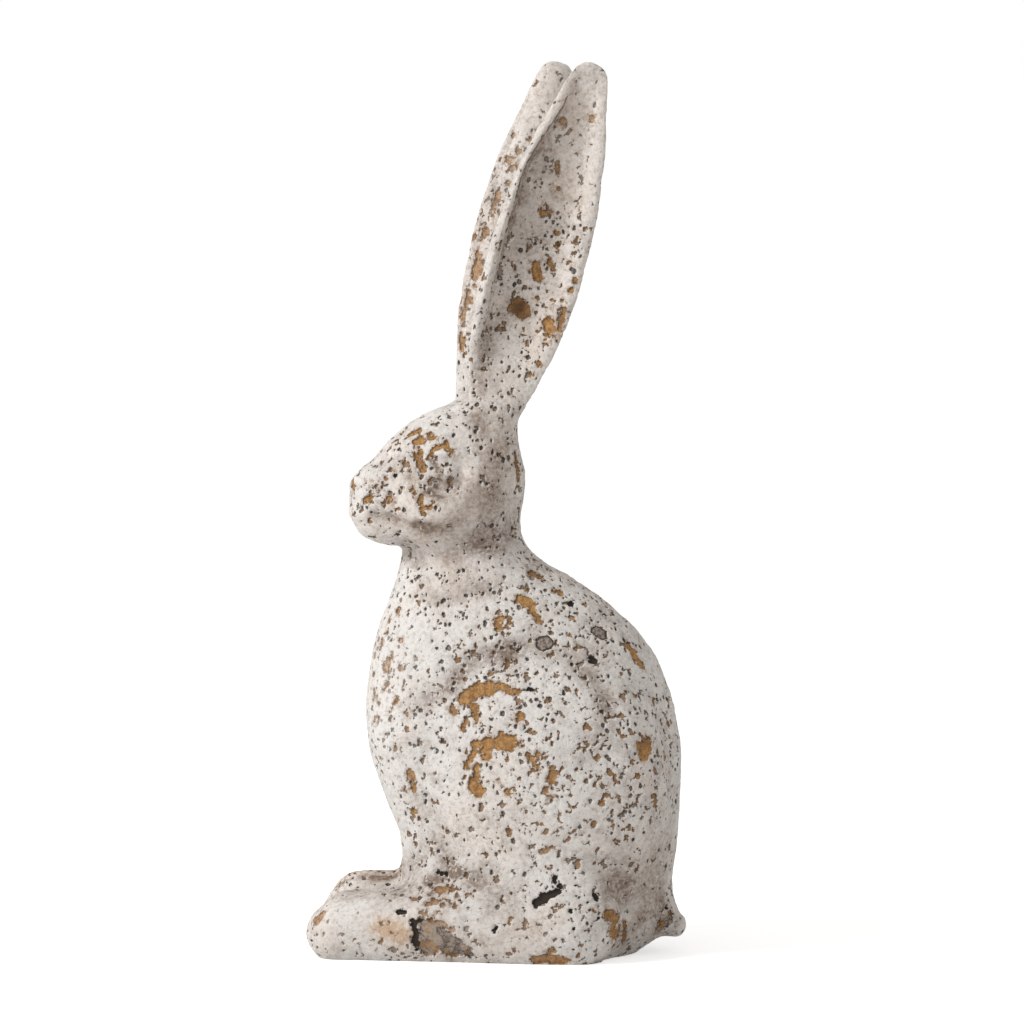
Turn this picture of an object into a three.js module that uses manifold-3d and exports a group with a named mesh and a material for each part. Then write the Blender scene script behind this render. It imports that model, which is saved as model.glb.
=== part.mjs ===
// A rabbit cast in cement, sitting up with long straight ears. Millimetres, +Z up.
// It faces -Y, its left side is +X, and its flat base stands on z = 0.
// Body and head are one hollow casting, open underneath. Each ear is a solid casting on a steel rod.
// The rods pass through the skull, and their hooked ends are locked by mortar packed into the head
// and the upper neck.

import * as THREE from "three";
import { mergeVertices } from "three/addons/utils/BufferGeometryUtils.js";
import Module from "manifold-3d";

const wasm = await Module();
wasm.setup();

// Casting and joints
const WALL = 13; // cement left round the hollow
const JOINT_GAP = 0.3; // between pieces that are bedded on or in each other
const FLESH_BLEND = 13; // how softly the trunk's forms run into each other
const NECK_BLEND = 8; // the same under the jaw and round the tail
const THIGH_BLEND = 30; // the same from haunch to hind foot
const LIMB_BLEND = 9; // the same where the hind legs leave a crease

// Torso: level sections from the ground up to the shoulders
const TORSO = [
  { z: -12, front: -20, back: 56, half: 36 },
  { z: 2, front: -22, back: 76, half: 38 },
  { z: 12, front: -25, back: 88, half: 40 },
  { z: 32, front: -31, back: 90, half: 43 },
  { z: 60, front: -44, back: 93.5, half: 46 },
  { z: 84, front: -57, back: 95, half: 47 },
  { z: 104, front: -64, back: 95.3, half: 47 },
  { z: 125, front: -67, back: 92, half: 46 },
  { z: 145, front: -65.5, back: 85.5, half: 43 },
  { z: 166, front: -61, back: 72.5, half: 39 },
  { z: 186, front: -53.5, back: 49.5, half: 32 },
];

// Neck: sections at these shares of the way from the shoulders up to the middle of the head
const NECK = [
  { share: 0.36, front: -47.5, back: 18, half: 26 },
  { share: 0.68, front: -44, back: 12.5, half: 24 },
  { share: 1, front: -39, back: 12, half: 23.5 },
];

// Haunches, as the left one
const HAUNCH_SIDE = 28;
const HAUNCH_BACK = 26;
const HAUNCH_UP = 85;
const HAUNCH_THICK = 30;
const HAUNCH_LONG = 62;
const HAUNCH_TALL = 72;
const HAUNCH_TILT = 4; // degrees, top towards the tail

// Hind feet, as the left one. The right one stands a little further back
const FOOT_RISE = [
  { back: -92, height: 34 },
  { back: -77, height: 39 },
  { back: -55, height: 40 },
  { back: 60, height: 40 },
];
const FOOT_HALF = 21;
const TOE_HALF = 19;
const LEFT_TOE_FRONT = -97.5;
const RIGHT_TOE_FRONT = -91;
const HEEL_BACK = 60;
const TOE_SIDE = 22;
const HEEL_SIDE = 37;
const SOLE_SINK = 7; // how far the round underside would reach below the ground

// Forelegs, as the left one
const SHOULDER = { side: 15, back: -40, up: 112, radius: 22 };
const WRIST = { side: 16, back: -30.5, up: 50, radius: 14 };
const PAW = { side: 14, back: -40, up: 10, radius: 12 };
const PAW_TOE = { side: 9, back: -66, up: 7, radius: 11 };

// Tail
const TAIL_ROOT = { back: 72, up: 28, radius: 17 };
const TAIL_TIP = { back: 91.5, up: 13.5, radius: 6.5 };

// Head, in a frame at the middle of the skull that is turned a little to the rabbit's left
const HEAD_UP = 245;
const HEAD_BACK = -16; // the neck's axis
const HEAD_TURN = 16; // degrees
const SKULL = { back: -3, up: 0, half: 29, long: 33.5, tall: 34 };
const MUZZLE = { back: -40, up: -7.5, half: 16, long: 21.3, tall: 17 };
const CHIN = { back: -38, up: -24, half: 13, long: 19, tall: 10.5 };
const BROW = { back: -22, up: 7, half: 19, long: 22, tall: 18 };
const CROWN = { back: -6, up: 17, half: 19, long: 20, tall: 16.5 };
const CHEEK = { side: 17, back: -18, up: -16, half: 14, long: 22, tall: 17 };
const EYE = { side: 24, back: -16.5, up: 3.5, half: 4.2, long: 7.8, tall: 6.3 };
const EYE_SOCKET_ROOM = 4;
const HEAD_BLEND = 12;

// Ears, as the left one
const EAR_SIDE = 13;
const EAR_BACK = 11.8;
const EAR_SEAT_UP = 34; // the joint between skull and ear, above the middle of the head
const EAR_LENGTH = 185;
const EAR_LEAN_BACK = 15; // degrees
const EAR_LEAN_OUT = 6; // degrees
const EAR_OPENS_FORWARD = 6; // degrees from straight sideways
const EAR_RIM = 6.5; // width of the rolled edge
const FRONT_CREST = 0.28; // how far the rolled edges stand out, as shares of the hollow's depth
const REAR_CREST = 0.08;
const HOLLOW_FORWARD = 0.22; // how far the hollow's deepest line lies towards the front edge
const EAR_SECTIONS = [
  { along: 0, half: 14, back: 11, face: 8 },
  { along: 0.07, half: 17.5, back: 12, face: 2 },
  { along: 0.18, half: 22.5, back: 14.5, face: -5 },
  { along: 0.32, half: 25.3, back: 17, face: -8.5 },
  { along: 0.48, half: 25.6, back: 18, face: -10 },
  { along: 0.61, half: 24, back: 17, face: -9.5 },
  { along: 0.75, half: 20, back: 14, face: -7.5 },
  { along: 0.86, half: 14.8, back: 10.5, face: -4.5 },
  { along: 0.94, half: 10, back: 7, face: -1 },
  { along: 0.98, half: 6.2, back: 4, face: 1 },
  { along: 0.995, half: 3, back: 2, face: 1.5 },
]; // back: how deep the rounded back is behind the rim, face: how far the front stands out of it
const EAR_RINGS = 24;
const EAR_SIDES = 32; // points round a section, even

// Creases pressed in along lines of side, back and up, and ridges where the depth is negative.
// They are given as on the left side; those of the head are in its frame
const HEAD_CREASES = [
  {
    name: "under the cheek",
    width: 3.5,
    depth: 2.2,
    line: [
      [11, -50, -17.5],
      [13.5, -44.5, -18.5],
      [19, -36, -20.5],
      [25.5, -27.5, -23.7],
      [29, -18, -24],
      [30, -10.7, -21],
      [30.5, -5.5, -16],
    ],
  },
  { name: "brow", width: 3.4, depth: -1.6, line: [[23, -27, 11], [26, -20, 14], [26, -12, 14]] },
  { name: "below the eye", width: 3, depth: 1.2, line: [[25, -26.5, -5.5], [26.5, -20.5, -7.5]] },
];
const BODY_CREASES = [
  {
    name: "over the haunch",
    width: 5.5,
    depth: 2,
    line: [
      [36, -36, 133],
      [39, -28, 143],
      [41, -13, 151],
      [41, 8, 158.5],
      [39, 20, 161.5],
      [37.5, 35, 154.5],
      [38, 49, 145],
      [40, 56, 134],
    ],
  },
  {
    name: "shoulder",
    width: 4.5,
    depth: 1.1,
    line: [[30, -30, 183.5], [33, -16, 187], [32, 0, 189.5]],
  },
  {
    name: "neck",
    width: 4,
    depth: 1.3,
    line: [[14, -43, 205], [22, -33, 203.5], [26, -13, 206.5], [20, 2, 213.5]],
  },
  {
    name: "behind the foreleg",
    width: 5,
    depth: 2.2,
    line: [[37, -36, 81], [41, -30.5, 64], [43, -25, 49]],
  },
  {
    name: "over the instep",
    width: 3.5,
    depth: 2.2,
    line: [[42, -31, 44], [49, -19, 43.5], [53, -8, 43]],
  },
  {
    name: "behind the heel",
    width: 7,
    depth: 2.5,
    line: [[52, 51, 51], [47, 60, 41], [40, 68, 31], [36, 73, 18]],
  },
  {
    name: "beside the tail",
    width: 4,
    depth: 1.5,
    line: [[8, 74, 46], [16, 84, 30], [20, 84, 8]],
  },
];

// Steel rods in the ears
const ROD_RADIUS = 1.6;
const ROD_REACH = 105; // up into the ear
const ROD_DROP = 34; // down into the head
const ROD_HOOK = 10; // length of the bent end
const ROD_BEND = 4; // radius that it is bent round
const ROD_SIDES = 12;
const ROD_STEPS = 6; // points in the bend, and in the stretch inside the ear

// Mortar that locks the rods, packed into the hollow of the head and of the upper neck
const MORTAR_DEPTH = 42; // below the middle of the head

// Cells of the grids that the cast surfaces are traced on, and where they change size
const EYE_CELL = 3.8;
const HEAD_CELL = 5.8;
const BROAD_CELL = 7.8;
const HOLLOW_CELL = 9.5;
const EYE_ZONE = { long: 18, tall: 9.5 }; // to each side of the eyes
const HEAD_ZONE = 7; // past the skull's sides
const NECK_ZONE = 14; // below the chin
const TAIL_ZONE = 16; // forward of the tail's tip
const FOOT_ZONE = 8; // above the feet

const degrees = THREE.MathUtils.degToRad;
const FAR = 400; // past the figure on every side

// Fields: a function of x, y, z that is the distance to a surface, negative inside it

function ellipsoid({ side = 0, back, up, half, long, tall, tilt = 0 }) {
  const cos = Math.cos(degrees(tilt));
  const sin = Math.sin(degrees(tilt));
  return (x, y, z) => {
    const v = y - back;
    const w = z - up;
    const p = [x - side, v * cos - w * sin, v * sin + w * cos];
    const r = [half, long, tall];
    const near = Math.hypot(...p.map((c, i) => c / r[i]));
    const slope = Math.hypot(...p.map((c, i) => c / r[i] ** 2));
    return slope < 1e-9 ? -Math.min(...r) : (near * (near - 1)) / slope;
  };
}

// A rounded limb between two balls
function limb(from, to) {
  const a = [from.side ?? 0, from.back, from.up];
  const b = [to.side ?? 0, to.back, to.up];
  const run = b.map((c, i) => c - a[i]);
  const length2 = run.reduce((sum, c) => sum + c * c, 0);
  return (x, y, z) => {
    const p = [x - a[0], y - a[1], z - a[2]];
    const t = THREE.MathUtils.clamp(p.reduce((sum, c, i) => sum + c * run[i], 0) / length2, 0, 1);
    const away = Math.hypot(...p.map((c, i) => c - run[i] * t));
    return away - THREE.MathUtils.lerp(from.radius, to.radius, t);
  };
}

// A smooth value between sections that each state a place and a size
function between(sections, place, size, at) {
  const last = sections.length - 1;
  const t = THREE.MathUtils.clamp(at, sections[0][place], sections[last][place]);
  let i = 0;
  while (i < last - 1 && sections[i + 1][place] < t) i += 1;
  const slope = (n) => {
    const a = sections[Math.max(n - 1, 0)];
    const b = sections[Math.min(n + 1, last)];
    return (b[size] - a[size]) / (b[place] - a[place]);
  };
  const gap = sections[i + 1][place] - sections[i][place];
  const s = (t - sections[i][place]) / gap;
  const low = sections[i][size];
  const high = sections[i + 1][size];
  return (
    low * (1 + 2 * s) * (1 - s) ** 2 +
    slope(i) * gap * s * (1 - s) ** 2 +
    high * s * s * (3 - 2 * s) +
    slope(i + 1) * gap * s * s * (s - 1)
  );
}

// The trunk from the ground to the top of the neck
const shoulders = TORSO[TORSO.length - 1].z;
const neck = NECK.map(({ share, ...section }) => ({
  z: THREE.MathUtils.lerp(shoulders, HEAD_UP, share),
  ...section,
}));
const trunkSections = [...TORSO, ...neck];

// The trunk's field, with every section pulled in by the given amount
function torso(inset) {
  const top = HEAD_UP - inset;
  const bottom = TORSO[0].z - inset;
  return (x, y, z) => {
    const front = between(trunkSections, "z", "front", z);
    const back = between(trunkSections, "z", "back", z);
    const half = between(trunkSections, "z", "half", z) - inset;
    const long = (back - front) / 2 - inset;
    const v = y - (front + back) / 2;
    const near = Math.hypot(x / half, v / long);
    const slope = Math.hypot(x / half ** 2, v / long ** 2);
    const level = slope < 1e-9 ? -half : (near * (near - 1)) / slope;
    return Math.max(level, z - top, bottom - z);
  };
}

const smaller = (part, by) => ({
  ...part,
  half: part.half - by,
  long: part.long - by,
  tall: part.tall - by,
});

function smoothMin(a, b, width) {
  const h = Math.max(width - Math.abs(a - b), 0) / width;
  return Math.min(a, b) - (h * h * width) / 4;
}

const joined = (width, ...fields) => (x, y, z) =>
  fields.map((field) => field(x, y, z)).reduce((a, b) => smoothMin(a, b, width));

const carved = (width, field, tool) => (x, y, z) =>
  -smoothMin(-field(x, y, z), tool(x, y, z), width);

const bothSides = (field) => (x, y, z) => field(Math.abs(x), y, z);

// How far creases press a surface in at a place
const pressed = (creases) => (x, y, z) => {
  const place = new THREE.Vector3(x, y, z);
  const nearest = new THREE.Vector3();
  return creases.reduce((sum, { width, depth, line }) => {
    const away = line.slice(1).map((end, i) => {
      const stretch = new THREE.Line3(new THREE.Vector3(...line[i]), new THREE.Vector3(...end));
      return stretch.closestPointToPoint(place, true, nearest).distanceTo(place);
    });
    return sum + depth * Math.exp(-((Math.min(...away) / width) ** 2));
  }, 0);
};

// The head's frame, and a field given in it
const headFrame = new THREE.Matrix4()
  .makeRotationZ(degrees(HEAD_TURN))
  .setPosition(0, HEAD_BACK, HEAD_UP);
const headFrameBack = headFrame.clone().invert();
const inHead = (field) => (x, y, z) => {
  const p = new THREE.Vector3(x, y, z).applyMatrix4(headFrameBack);
  return field(p.x, p.y, p.z);
};

// The left ear's frame in the head's: x across it to its front edge, y outwards, z along it
function earFrame() {
  const along = new THREE.Vector3(
    Math.tan(degrees(EAR_LEAN_OUT)),
    Math.tan(degrees(EAR_LEAN_BACK)),
    1,
  ).normalize();
  const opening = new THREE.Vector3(
    Math.cos(degrees(EAR_OPENS_FORWARD)),
    -Math.sin(degrees(EAR_OPENS_FORWARD)),
    0,
  );
  const outward = opening.addScaledVector(along, -opening.dot(along)).normalize();
  const chord = new THREE.Vector3().crossVectors(outward, along);
  return new THREE.Matrix4()
    .makeBasis(chord, outward, along)
    .setPosition(EAR_SIDE, EAR_BACK, EAR_SEAT_UP);
}

// The stub that the skull raises to meet the ear, with the ear's own section at the joint
function earStub() {
  const root = EAR_SECTIONS[0];
  const toEar = earFrame().invert();
  const long = root.half;
  const thick = (root.back + root.face) / 2;
  const middle = (root.face - root.back) / 2;
  return (x, y, z) => {
    const p = new THREE.Vector3(x, y, z).applyMatrix4(toEar);
    const near = Math.hypot(p.x / long, (p.y - middle) / thick);
    const slope = Math.hypot(p.x / long ** 2, (p.y - middle) / thick ** 2);
    const level = slope < 1e-9 ? -thick : (near * (near - 1)) / slope;
    return Math.max(level, p.z - HEAD_CELL, -FAR - p.z);
  };
}

function head() {
  const solid = joined(
    HEAD_BLEND,
    ellipsoid(SKULL),
    ellipsoid(MUZZLE),
    ellipsoid(CHIN),
    ellipsoid(BROW),
    ellipsoid(CROWN),
    bothSides(ellipsoid(CHEEK)),
  );
  const socket = { ...smaller(EYE, -EYE_SOCKET_ROOM), side: EYE.side + 2 * EYE_SOCKET_ROOM };
  const socketed = carved(EYE_SOCKET_ROOM, solid, bothSides(ellipsoid(socket)));
  const eyed = joined(EYE_SOCKET_ROOM / 2, socketed, bothSides(ellipsoid(EYE)));
  const stub = bothSides(earStub());
  const skullOnly = (x, y, z) => Math.max(stub(x, y, z), SKULL.up - z);
  return joined(HEAD_BLEND, eyed, skullOnly);
}

function hindFoot(toeFront) {
  const toe = { side: TOE_SIDE, back: toeFront + TOE_HALF, up: 0, radius: TOE_HALF };
  const heel = { side: HEEL_SIDE, back: HEEL_BACK - FOOT_HALF, up: 0, radius: FOOT_HALF };
  const level = limb(toe, heel);
  return (x, y, z) => {
    const height = between(FOOT_RISE, "back", "height", y);
    const middle = (height - SOLE_SINK) / 2;
    const reach = (height + SOLE_SINK) / 2;
    return level(x, y, ((z - middle) * FOOT_HALF) / reach);
  };
}

const haunch = ellipsoid({
  side: HAUNCH_SIDE,
  back: HAUNCH_BACK,
  up: HAUNCH_UP,
  half: HAUNCH_THICK,
  long: HAUNCH_LONG,
  tall: HAUNCH_TALL,
  tilt: HAUNCH_TILT,
});

function figure() {
  const trunk = joined(NECK_BLEND, torso(0), inHead(head()), limb(TAIL_ROOT, TAIL_TIP));
  const forelegs = bothSides(joined(FLESH_BLEND, limb(SHOULDER, WRIST), limb(WRIST, PAW), limb(PAW, PAW_TOE)));
  const left = joined(THIGH_BLEND, haunch, hindFoot(LEFT_TOE_FRONT));
  const right = joined(THIGH_BLEND, haunch, hindFoot(RIGHT_TOE_FRONT));
  const rightPlaced = (x, y, z) => right(-x, y, z);
  const smooth = joined(LIMB_BLEND, joined(FLESH_BLEND, trunk, forelegs), left, rightPlaced);
  const creases = [bothSides(pressed(BODY_CREASES)), inHead(bothSides(pressed(HEAD_CREASES)))];
  return (x, y, z) => {
    const away = smooth(x, y, z);
    return Math.abs(away) > FLESH_BLEND
      ? away
      : creases.reduce((sum, crease) => sum + crease(x, y, z), away);
  };
}

// The hollow: torso and skull, with the wall's thickness of cement left round them
const hollow = joined(FLESH_BLEND, torso(WALL), inHead(ellipsoid(smaller(SKULL, WALL))));

// Surfaces

// Places from low to high, as far apart as the given cell or a little less
function places(low, high, cell) {
  const count = Math.ceil((high - low) / cell);
  return Array.from({ length: count + 1 }, (_, i) => low + ((high - low) * i) / count);
}

const chained = (...runs) => runs.flatMap((run, i) => (i ? run.slice(1) : run));

// The twelve edges of a cell, by direction and by side in the other two directions
const edgeNumber = (axis, a, b) => axis * 4 + a * 2 + b;

// Which patch of surface crosses each edge of a cell. Two patches in one cell stay apart, and
// neighbouring cells agree on the face that they share
function patches(inside) {
  const owner = Array.from({ length: 12 }, (_, edge) => edge);
  const patch = (edge) => (owner[edge] === edge ? edge : patch(owner[edge]));
  const join = (one, other) => {
    owner[patch(one)] = patch(other);
  };
  for (let normal = 0; normal < 3; normal += 1)
    for (let side = 0; side < 2; side += 1) {
      const [u, v] = [(normal + 1) % 3, (normal + 2) % 3];
      const corner = (i, j) => {
        const place = [0, 0, 0];
        place[normal] = side;
        place[u] = i;
        place[v] = j;
        return inside(place);
      };
      const crossed = [];
      for (let n = 0; n < 2; n += 1) {
        if (corner(0, n) !== corner(1, n)) crossed.push(edgeNumber(u, n, side));
        if (corner(n, 0) !== corner(n, 1)) crossed.push(edgeNumber(v, side, n));
      }
      if (crossed.length === 2) join(...crossed);
      if (crossed.length === 4)
        for (let i = 0; i < 2; i += 1) {
          const j = corner(i, 0) ? 0 : 1;
          join(edgeNumber(u, j, side), edgeNumber(v, side, i));
        }
    }
  return patch;
}

// Traces the surface where a field is zero: a point for each patch that crosses a cell,
// drawn on to the surface, and a four-sided face round each grid edge that it crosses
function traced(field, grid, inset = 0) {
  const [nx, ny, nz] = grid.map((run) => run.length);
  const index = ([i, j, k]) => (k * ny + j) * nx + i;
  const value = new Float64Array(nx * ny * nz);
  for (let k = 0; k < nz; k += 1)
    for (let j = 0; j < ny; j += 1)
      for (let i = 0; i < nx; i += 1)
        value[index([i, j, k])] = field(grid[0][i], grid[1][j], grid[2][k]);
  const inside = (place) => value[index(place)] < 0;

  const positions = [];
  const cells = new Map();
  const pointsOf = (cell) => {
    const key = index(cell);
    if (cells.has(key)) return cells.get(key);
    const patch = patches((side) => inside(cell.map((n, axis) => n + side[axis])));
    const sums = new Map();
    for (let axis = 0; axis < 3; axis += 1)
      for (let a = 0; a < 2; a += 1)
        for (let b = 0; b < 2; b += 1) {
          const from = [...cell];
          from[(axis + 1) % 3] += a;
          from[(axis + 2) % 3] += b;
          const to = [...from];
          to[axis] += 1;
          if (inside(from) === inside(to)) continue;
          const [v0, v1] = [value[index(from)], value[index(to)]];
          const at = from.map((n, m) => grid[m][n]);
          at[axis] += (grid[axis][to[axis]] - at[axis]) * (v0 / (v0 - v1));
          const root = patch(edgeNumber(axis, a, b));
          const sum = sums.get(root) ?? { place: new THREE.Vector3(), count: 0 };
          sum.place.add(new THREE.Vector3(...at));
          sum.count += 1;
          sums.set(root, sum);
        }
    const points = new Map();
    for (const [root, sum] of sums) {
      points.set(root, positions.length / 3);
      positions.push(...drawnOn(field, inset, sum.place.divideScalar(sum.count)).toArray());
    }
    const pointAt = (edge) => points.get(patch(edge));
    cells.set(key, pointAt);
    return pointAt;
  };

  const faces = [];
  for (let k = 1; k < nz - 1; k += 1)
    for (let j = 1; j < ny - 1; j += 1)
      for (let i = 1; i < nx - 1; i += 1)
        for (let axis = 0; axis < 3; axis += 1) {
          const from = [i, j, k];
          const to = [...from];
          to[axis] += 1;
          if (inside(from) === inside(to)) continue;
          const ring = [[1, 1], [0, 1], [0, 0], [1, 0]].map(([a, b]) => {
            const cell = [...from];
            cell[(axis + 1) % 3] -= a;
            cell[(axis + 2) % 3] -= b;
            return pointsOf(cell)(edgeNumber(axis, a, b));
          });
          if (!inside(from)) ring.reverse();
          faces.push(ring[0], ring[1], ring[2], ring[0], ring[2], ring[3]);
        }
  return new THREE.BufferGeometry()
    .setAttribute("position", new THREE.Float32BufferAttribute(positions, 3))
    .setIndex(faces);
}

// Moves a point near a surface on to it, along the field's slope
function drawnOn(field, inset, start) {
  const step = 0.2;
  const p = start.clone();
  for (let turn = 0; turn < 3; turn += 1) {
    const here = field(p.x, p.y, p.z);
    const wanted = here + inset;
    const slope = new THREE.Vector3(
      field(p.x + step, p.y, p.z) - here,
      field(p.x, p.y + step, p.z) - here,
      field(p.x, p.y, p.z + step) - here,
    ).divideScalar(step);
    const move = slope.multiplyScalar(-wanted / Math.max(slope.lengthSq(), 0.2));
    p.add(move.clampLength(0, 1));
  }
  return p;
}

// Solids

function solid(geometry, matrix = new THREE.Matrix4()) {
  const g = geometry.clone();
  g.deleteAttribute("normal");
  g.deleteAttribute("uv");
  const merged = mergeVertices(g);
  const made = new wasm.Manifold(
    new wasm.Mesh({
      numProp: 3,
      vertProperties: new Float32Array(merged.getAttribute("position").array),
      triVerts: new Uint32Array(merged.index.array),
    }),
  );
  return made.transform(matrix.elements);
}

function geometryOf(made) {
  const mesh = made.getMesh();
  const geometry = new THREE.BufferGeometry()
    .setAttribute("position", new THREE.BufferAttribute(new Float32Array(mesh.vertProperties), 3))
    .setIndex(new THREE.BufferAttribute(new Uint32Array(mesh.triVerts), 1));
  geometry.computeVertexNormals();
  return geometry;
}

// A block whose underside is the plane z = 0 of the given frame
function blockAbove(matrix, long, wide, tall) {
  const box = new THREE.BoxGeometry(long, wide, tall).translate(0, 0, tall / 2);
  return solid(box, matrix);
}

// The ear's face across it from the rear edge to the front edge, as a share of the hollow's depth.
// Places and the rim's width are shares of the half width
function hollowShape(rim) {
  return [
    { at: -1, depth: 0 },
    { at: -1 + 0.5 * rim, depth: -REAR_CREST },
    { at: -1 + 1.25 * rim, depth: 0.12 },
    { at: -0.38, depth: 0.78 },
    { at: HOLLOW_FORWARD, depth: 1 },
    { at: 0.8 - rim, depth: 0.92 },
    { at: 1 - rim, depth: 0.1 },
    { at: 1 - 0.55 * rim, depth: -FRONT_CREST },
    { at: 1, depth: 0 },
  ];
}

// A section of the ear at a height along it, as points in its own plane: the rounded back, then the
// face, which is hollow where it lies behind the rim
function earSection(along) {
  const half = between(EAR_SECTIONS, "along", "half", along);
  const back = between(EAR_SECTIONS, "along", "back", along);
  const face = between(EAR_SECTIONS, "along", "face", along);
  const shape = hollowShape(Math.min(EAR_RIM / half, 0.42));
  const hollowed = THREE.MathUtils.smoothstep(-face, -2, 3);
  const steps = EAR_SIDES / 2;
  const points = [];
  for (let i = 0; i <= steps; i += 1) {
    const turn = (Math.PI * i) / steps;
    points.push([half * Math.cos(turn), -back * Math.sin(turn)]);
  }
  for (let i = 1; i < steps; i += 1) {
    const turn = Math.PI * (1 - i / steps);
    const depth = between(shape, "at", "depth", Math.cos(turn));
    points.push([
      half * Math.cos(turn),
      face * THREE.MathUtils.lerp(Math.sin(turn), depth, hollowed),
    ]);
  }
  return points;
}

function ear() {
  const last = EAR_SECTIONS[EAR_SECTIONS.length - 1].along;
  const rings = Array.from({ length: EAR_RINGS + 1 }, (_, i) => {
    const share = i / EAR_RINGS;
    return last * (share + 0.35 * share * (1 - share) * (2 * share - 1));
  });
  const positions = [];
  for (const along of rings)
    for (const [u, v] of earSection(along))
      positions.push(u, v, along * EAR_LENGTH);
  const root = positions.length / 3;
  positions.push(0, 0, 0);
  positions.push(0, 0, EAR_LENGTH);
  const faces = [];
  const at = (ring, i) => ring * EAR_SIDES + ((i + EAR_SIDES) % EAR_SIDES);
  for (let i = 0; i < EAR_SIDES; i += 1) {
    faces.push(root, at(0, i), at(0, i + 1));
    faces.push(root + 1, at(EAR_RINGS, i + 1), at(EAR_RINGS, i));
    for (let ring = 0; ring < EAR_RINGS; ring += 1) {
      faces.push(at(ring, i), at(ring + 1, i + 1), at(ring, i + 1));
      faces.push(at(ring, i), at(ring + 1, i), at(ring + 1, i + 1));
    }
  }
  return new THREE.BufferGeometry()
    .setAttribute("position", new THREE.Float32BufferAttribute(positions, 3))
    .setIndex(faces);
}

// A round bar along a line of points that runs close to the xz plane
function bar(points, radius) {
  const positions = [];
  const faces = [];
  const last = points.length - 1;
  points.forEach((point, n) => {
    const along = points[Math.min(n + 1, last)].clone().sub(points[Math.max(n - 1, 0)]).normalize();
    const level = new THREE.Vector3(0, 1, 0).addScaledVector(along, -along.y).normalize();
    const across = new THREE.Vector3().crossVectors(level, along);
    for (let i = 0; i < ROD_SIDES; i += 1) {
      const turn = (2 * Math.PI * i) / ROD_SIDES;
      const place = point.clone().addScaledVector(across, radius * Math.cos(turn));
      positions.push(...place.addScaledVector(level, radius * Math.sin(turn)).toArray());
    }
  });
  positions.push(...points[0].toArray(), ...points[last].toArray());
  const end = ROD_SIDES * points.length;
  for (let i = 0; i < ROD_SIDES; i += 1) {
    const next = (i + 1) % ROD_SIDES;
    faces.push(end, next, i, end + 1, last * ROD_SIDES + i, last * ROD_SIDES + next);
    for (let n = 0; n < last; n += 1) {
      const [a, b] = [n * ROD_SIDES + i, n * ROD_SIDES + next];
      faces.push(a, b, b + ROD_SIDES, a, b + ROD_SIDES, a + ROD_SIDES);
    }
  }
  return new THREE.BufferGeometry()
    .setAttribute("position", new THREE.Float32BufferAttribute(positions, 3))
    .setIndex(faces);
}

// An ear's rod in the ear's frame, from its hooked end up the middle of the ear. Given room, it is
// the bore that the rod sits in
function rod(room = 0) {
  const middle = (along) =>
    (between(EAR_SECTIONS, "along", "face", along) -
      between(EAR_SECTIONS, "along", "back", along)) / 2;
  const root = middle(0);
  const points = [new THREE.Vector3(ROD_HOOK + room, root, -ROD_DROP)];
  for (let i = 0; i <= ROD_STEPS; i += 1) {
    const turn = (Math.PI / 2) * (i / ROD_STEPS);
    points.push(
      new THREE.Vector3(
        ROD_BEND * (1 - Math.sin(turn)),
        root,
        -ROD_DROP + ROD_BEND * (1 - Math.cos(turn)),
      ),
    );
  }
  points.push(new THREE.Vector3(0, root, 0));
  for (let i = 1; i <= ROD_STEPS; i += 1) {
    const up = ((ROD_REACH + room) * i) / ROD_STEPS;
    points.push(new THREE.Vector3(0, middle(up / EAR_LENGTH), up));
  }
  return bar(points, ROD_RADIUS + room);
}

// Materials

const cement = new THREE.MeshStandardMaterial({ color: 0xc9c2ba, roughness: 0.92, metalness: 0 });
const steel = new THREE.MeshStandardMaterial({ color: 0x6d6a66, roughness: 0.55, metalness: 0.85 });
const mortar = new THREE.MeshStandardMaterial({ color: 0x9a948b, roughness: 0.95, metalness: 0 });

// Assembly

const rabbit = new THREE.Group();
const headGroup = new THREE.Group();
headGroup.applyMatrix4(headFrame);
rabbit.add(headGroup);

const bedding = blockAbove(
  new THREE.Matrix4().makeTranslation(0, 0, JOINT_GAP - FAR),
  FAR,
  FAR,
  FAR,
);
const earGeometry = geometryOf(solid(ear()).subtract(solid(rod(JOINT_GAP))).subtract(bedding));
const rodGeometry = rod();

const widest = Math.max(...TORSO.map((section) => section.half));
const frontmost = Math.min(...TORSO.map((section) => section.front));
const rearmost = Math.max(...TORSO.map((section) => section.back));
const hollowGrid = [
  places(-widest - HOLLOW_CELL, widest + HOLLOW_CELL, HOLLOW_CELL),
  places(frontmost - HOLLOW_CELL, rearmost + HOLLOW_CELL, HOLLOW_CELL),
  places(TORSO[0].z - WALL - 2 * HOLLOW_CELL, HEAD_UP + SKULL.up + SKULL.tall, HOLLOW_CELL),
];

const seats = [];
for (const [name, mirror] of [["left", 1], ["right", -1]]) {
  const side = new THREE.Group();
  side.scale.x = mirror;
  const seat = new THREE.Group();
  seat.applyMatrix4(earFrame());
  const earMesh = new THREE.Mesh(earGeometry, cement);
  earMesh.name = `${name}_ear`;
  const rodMesh = new THREE.Mesh(rodGeometry, steel);
  rodMesh.name = `${name}_ear_rod`;
  seat.add(earMesh, rodMesh);
  side.add(seat);
  headGroup.add(side);
  seats.push(seat);
}
rabbit.updateMatrixWorld(true);

const bores = seats.map((seat) => solid(rod(JOINT_GAP), seat.matrixWorld));

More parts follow.
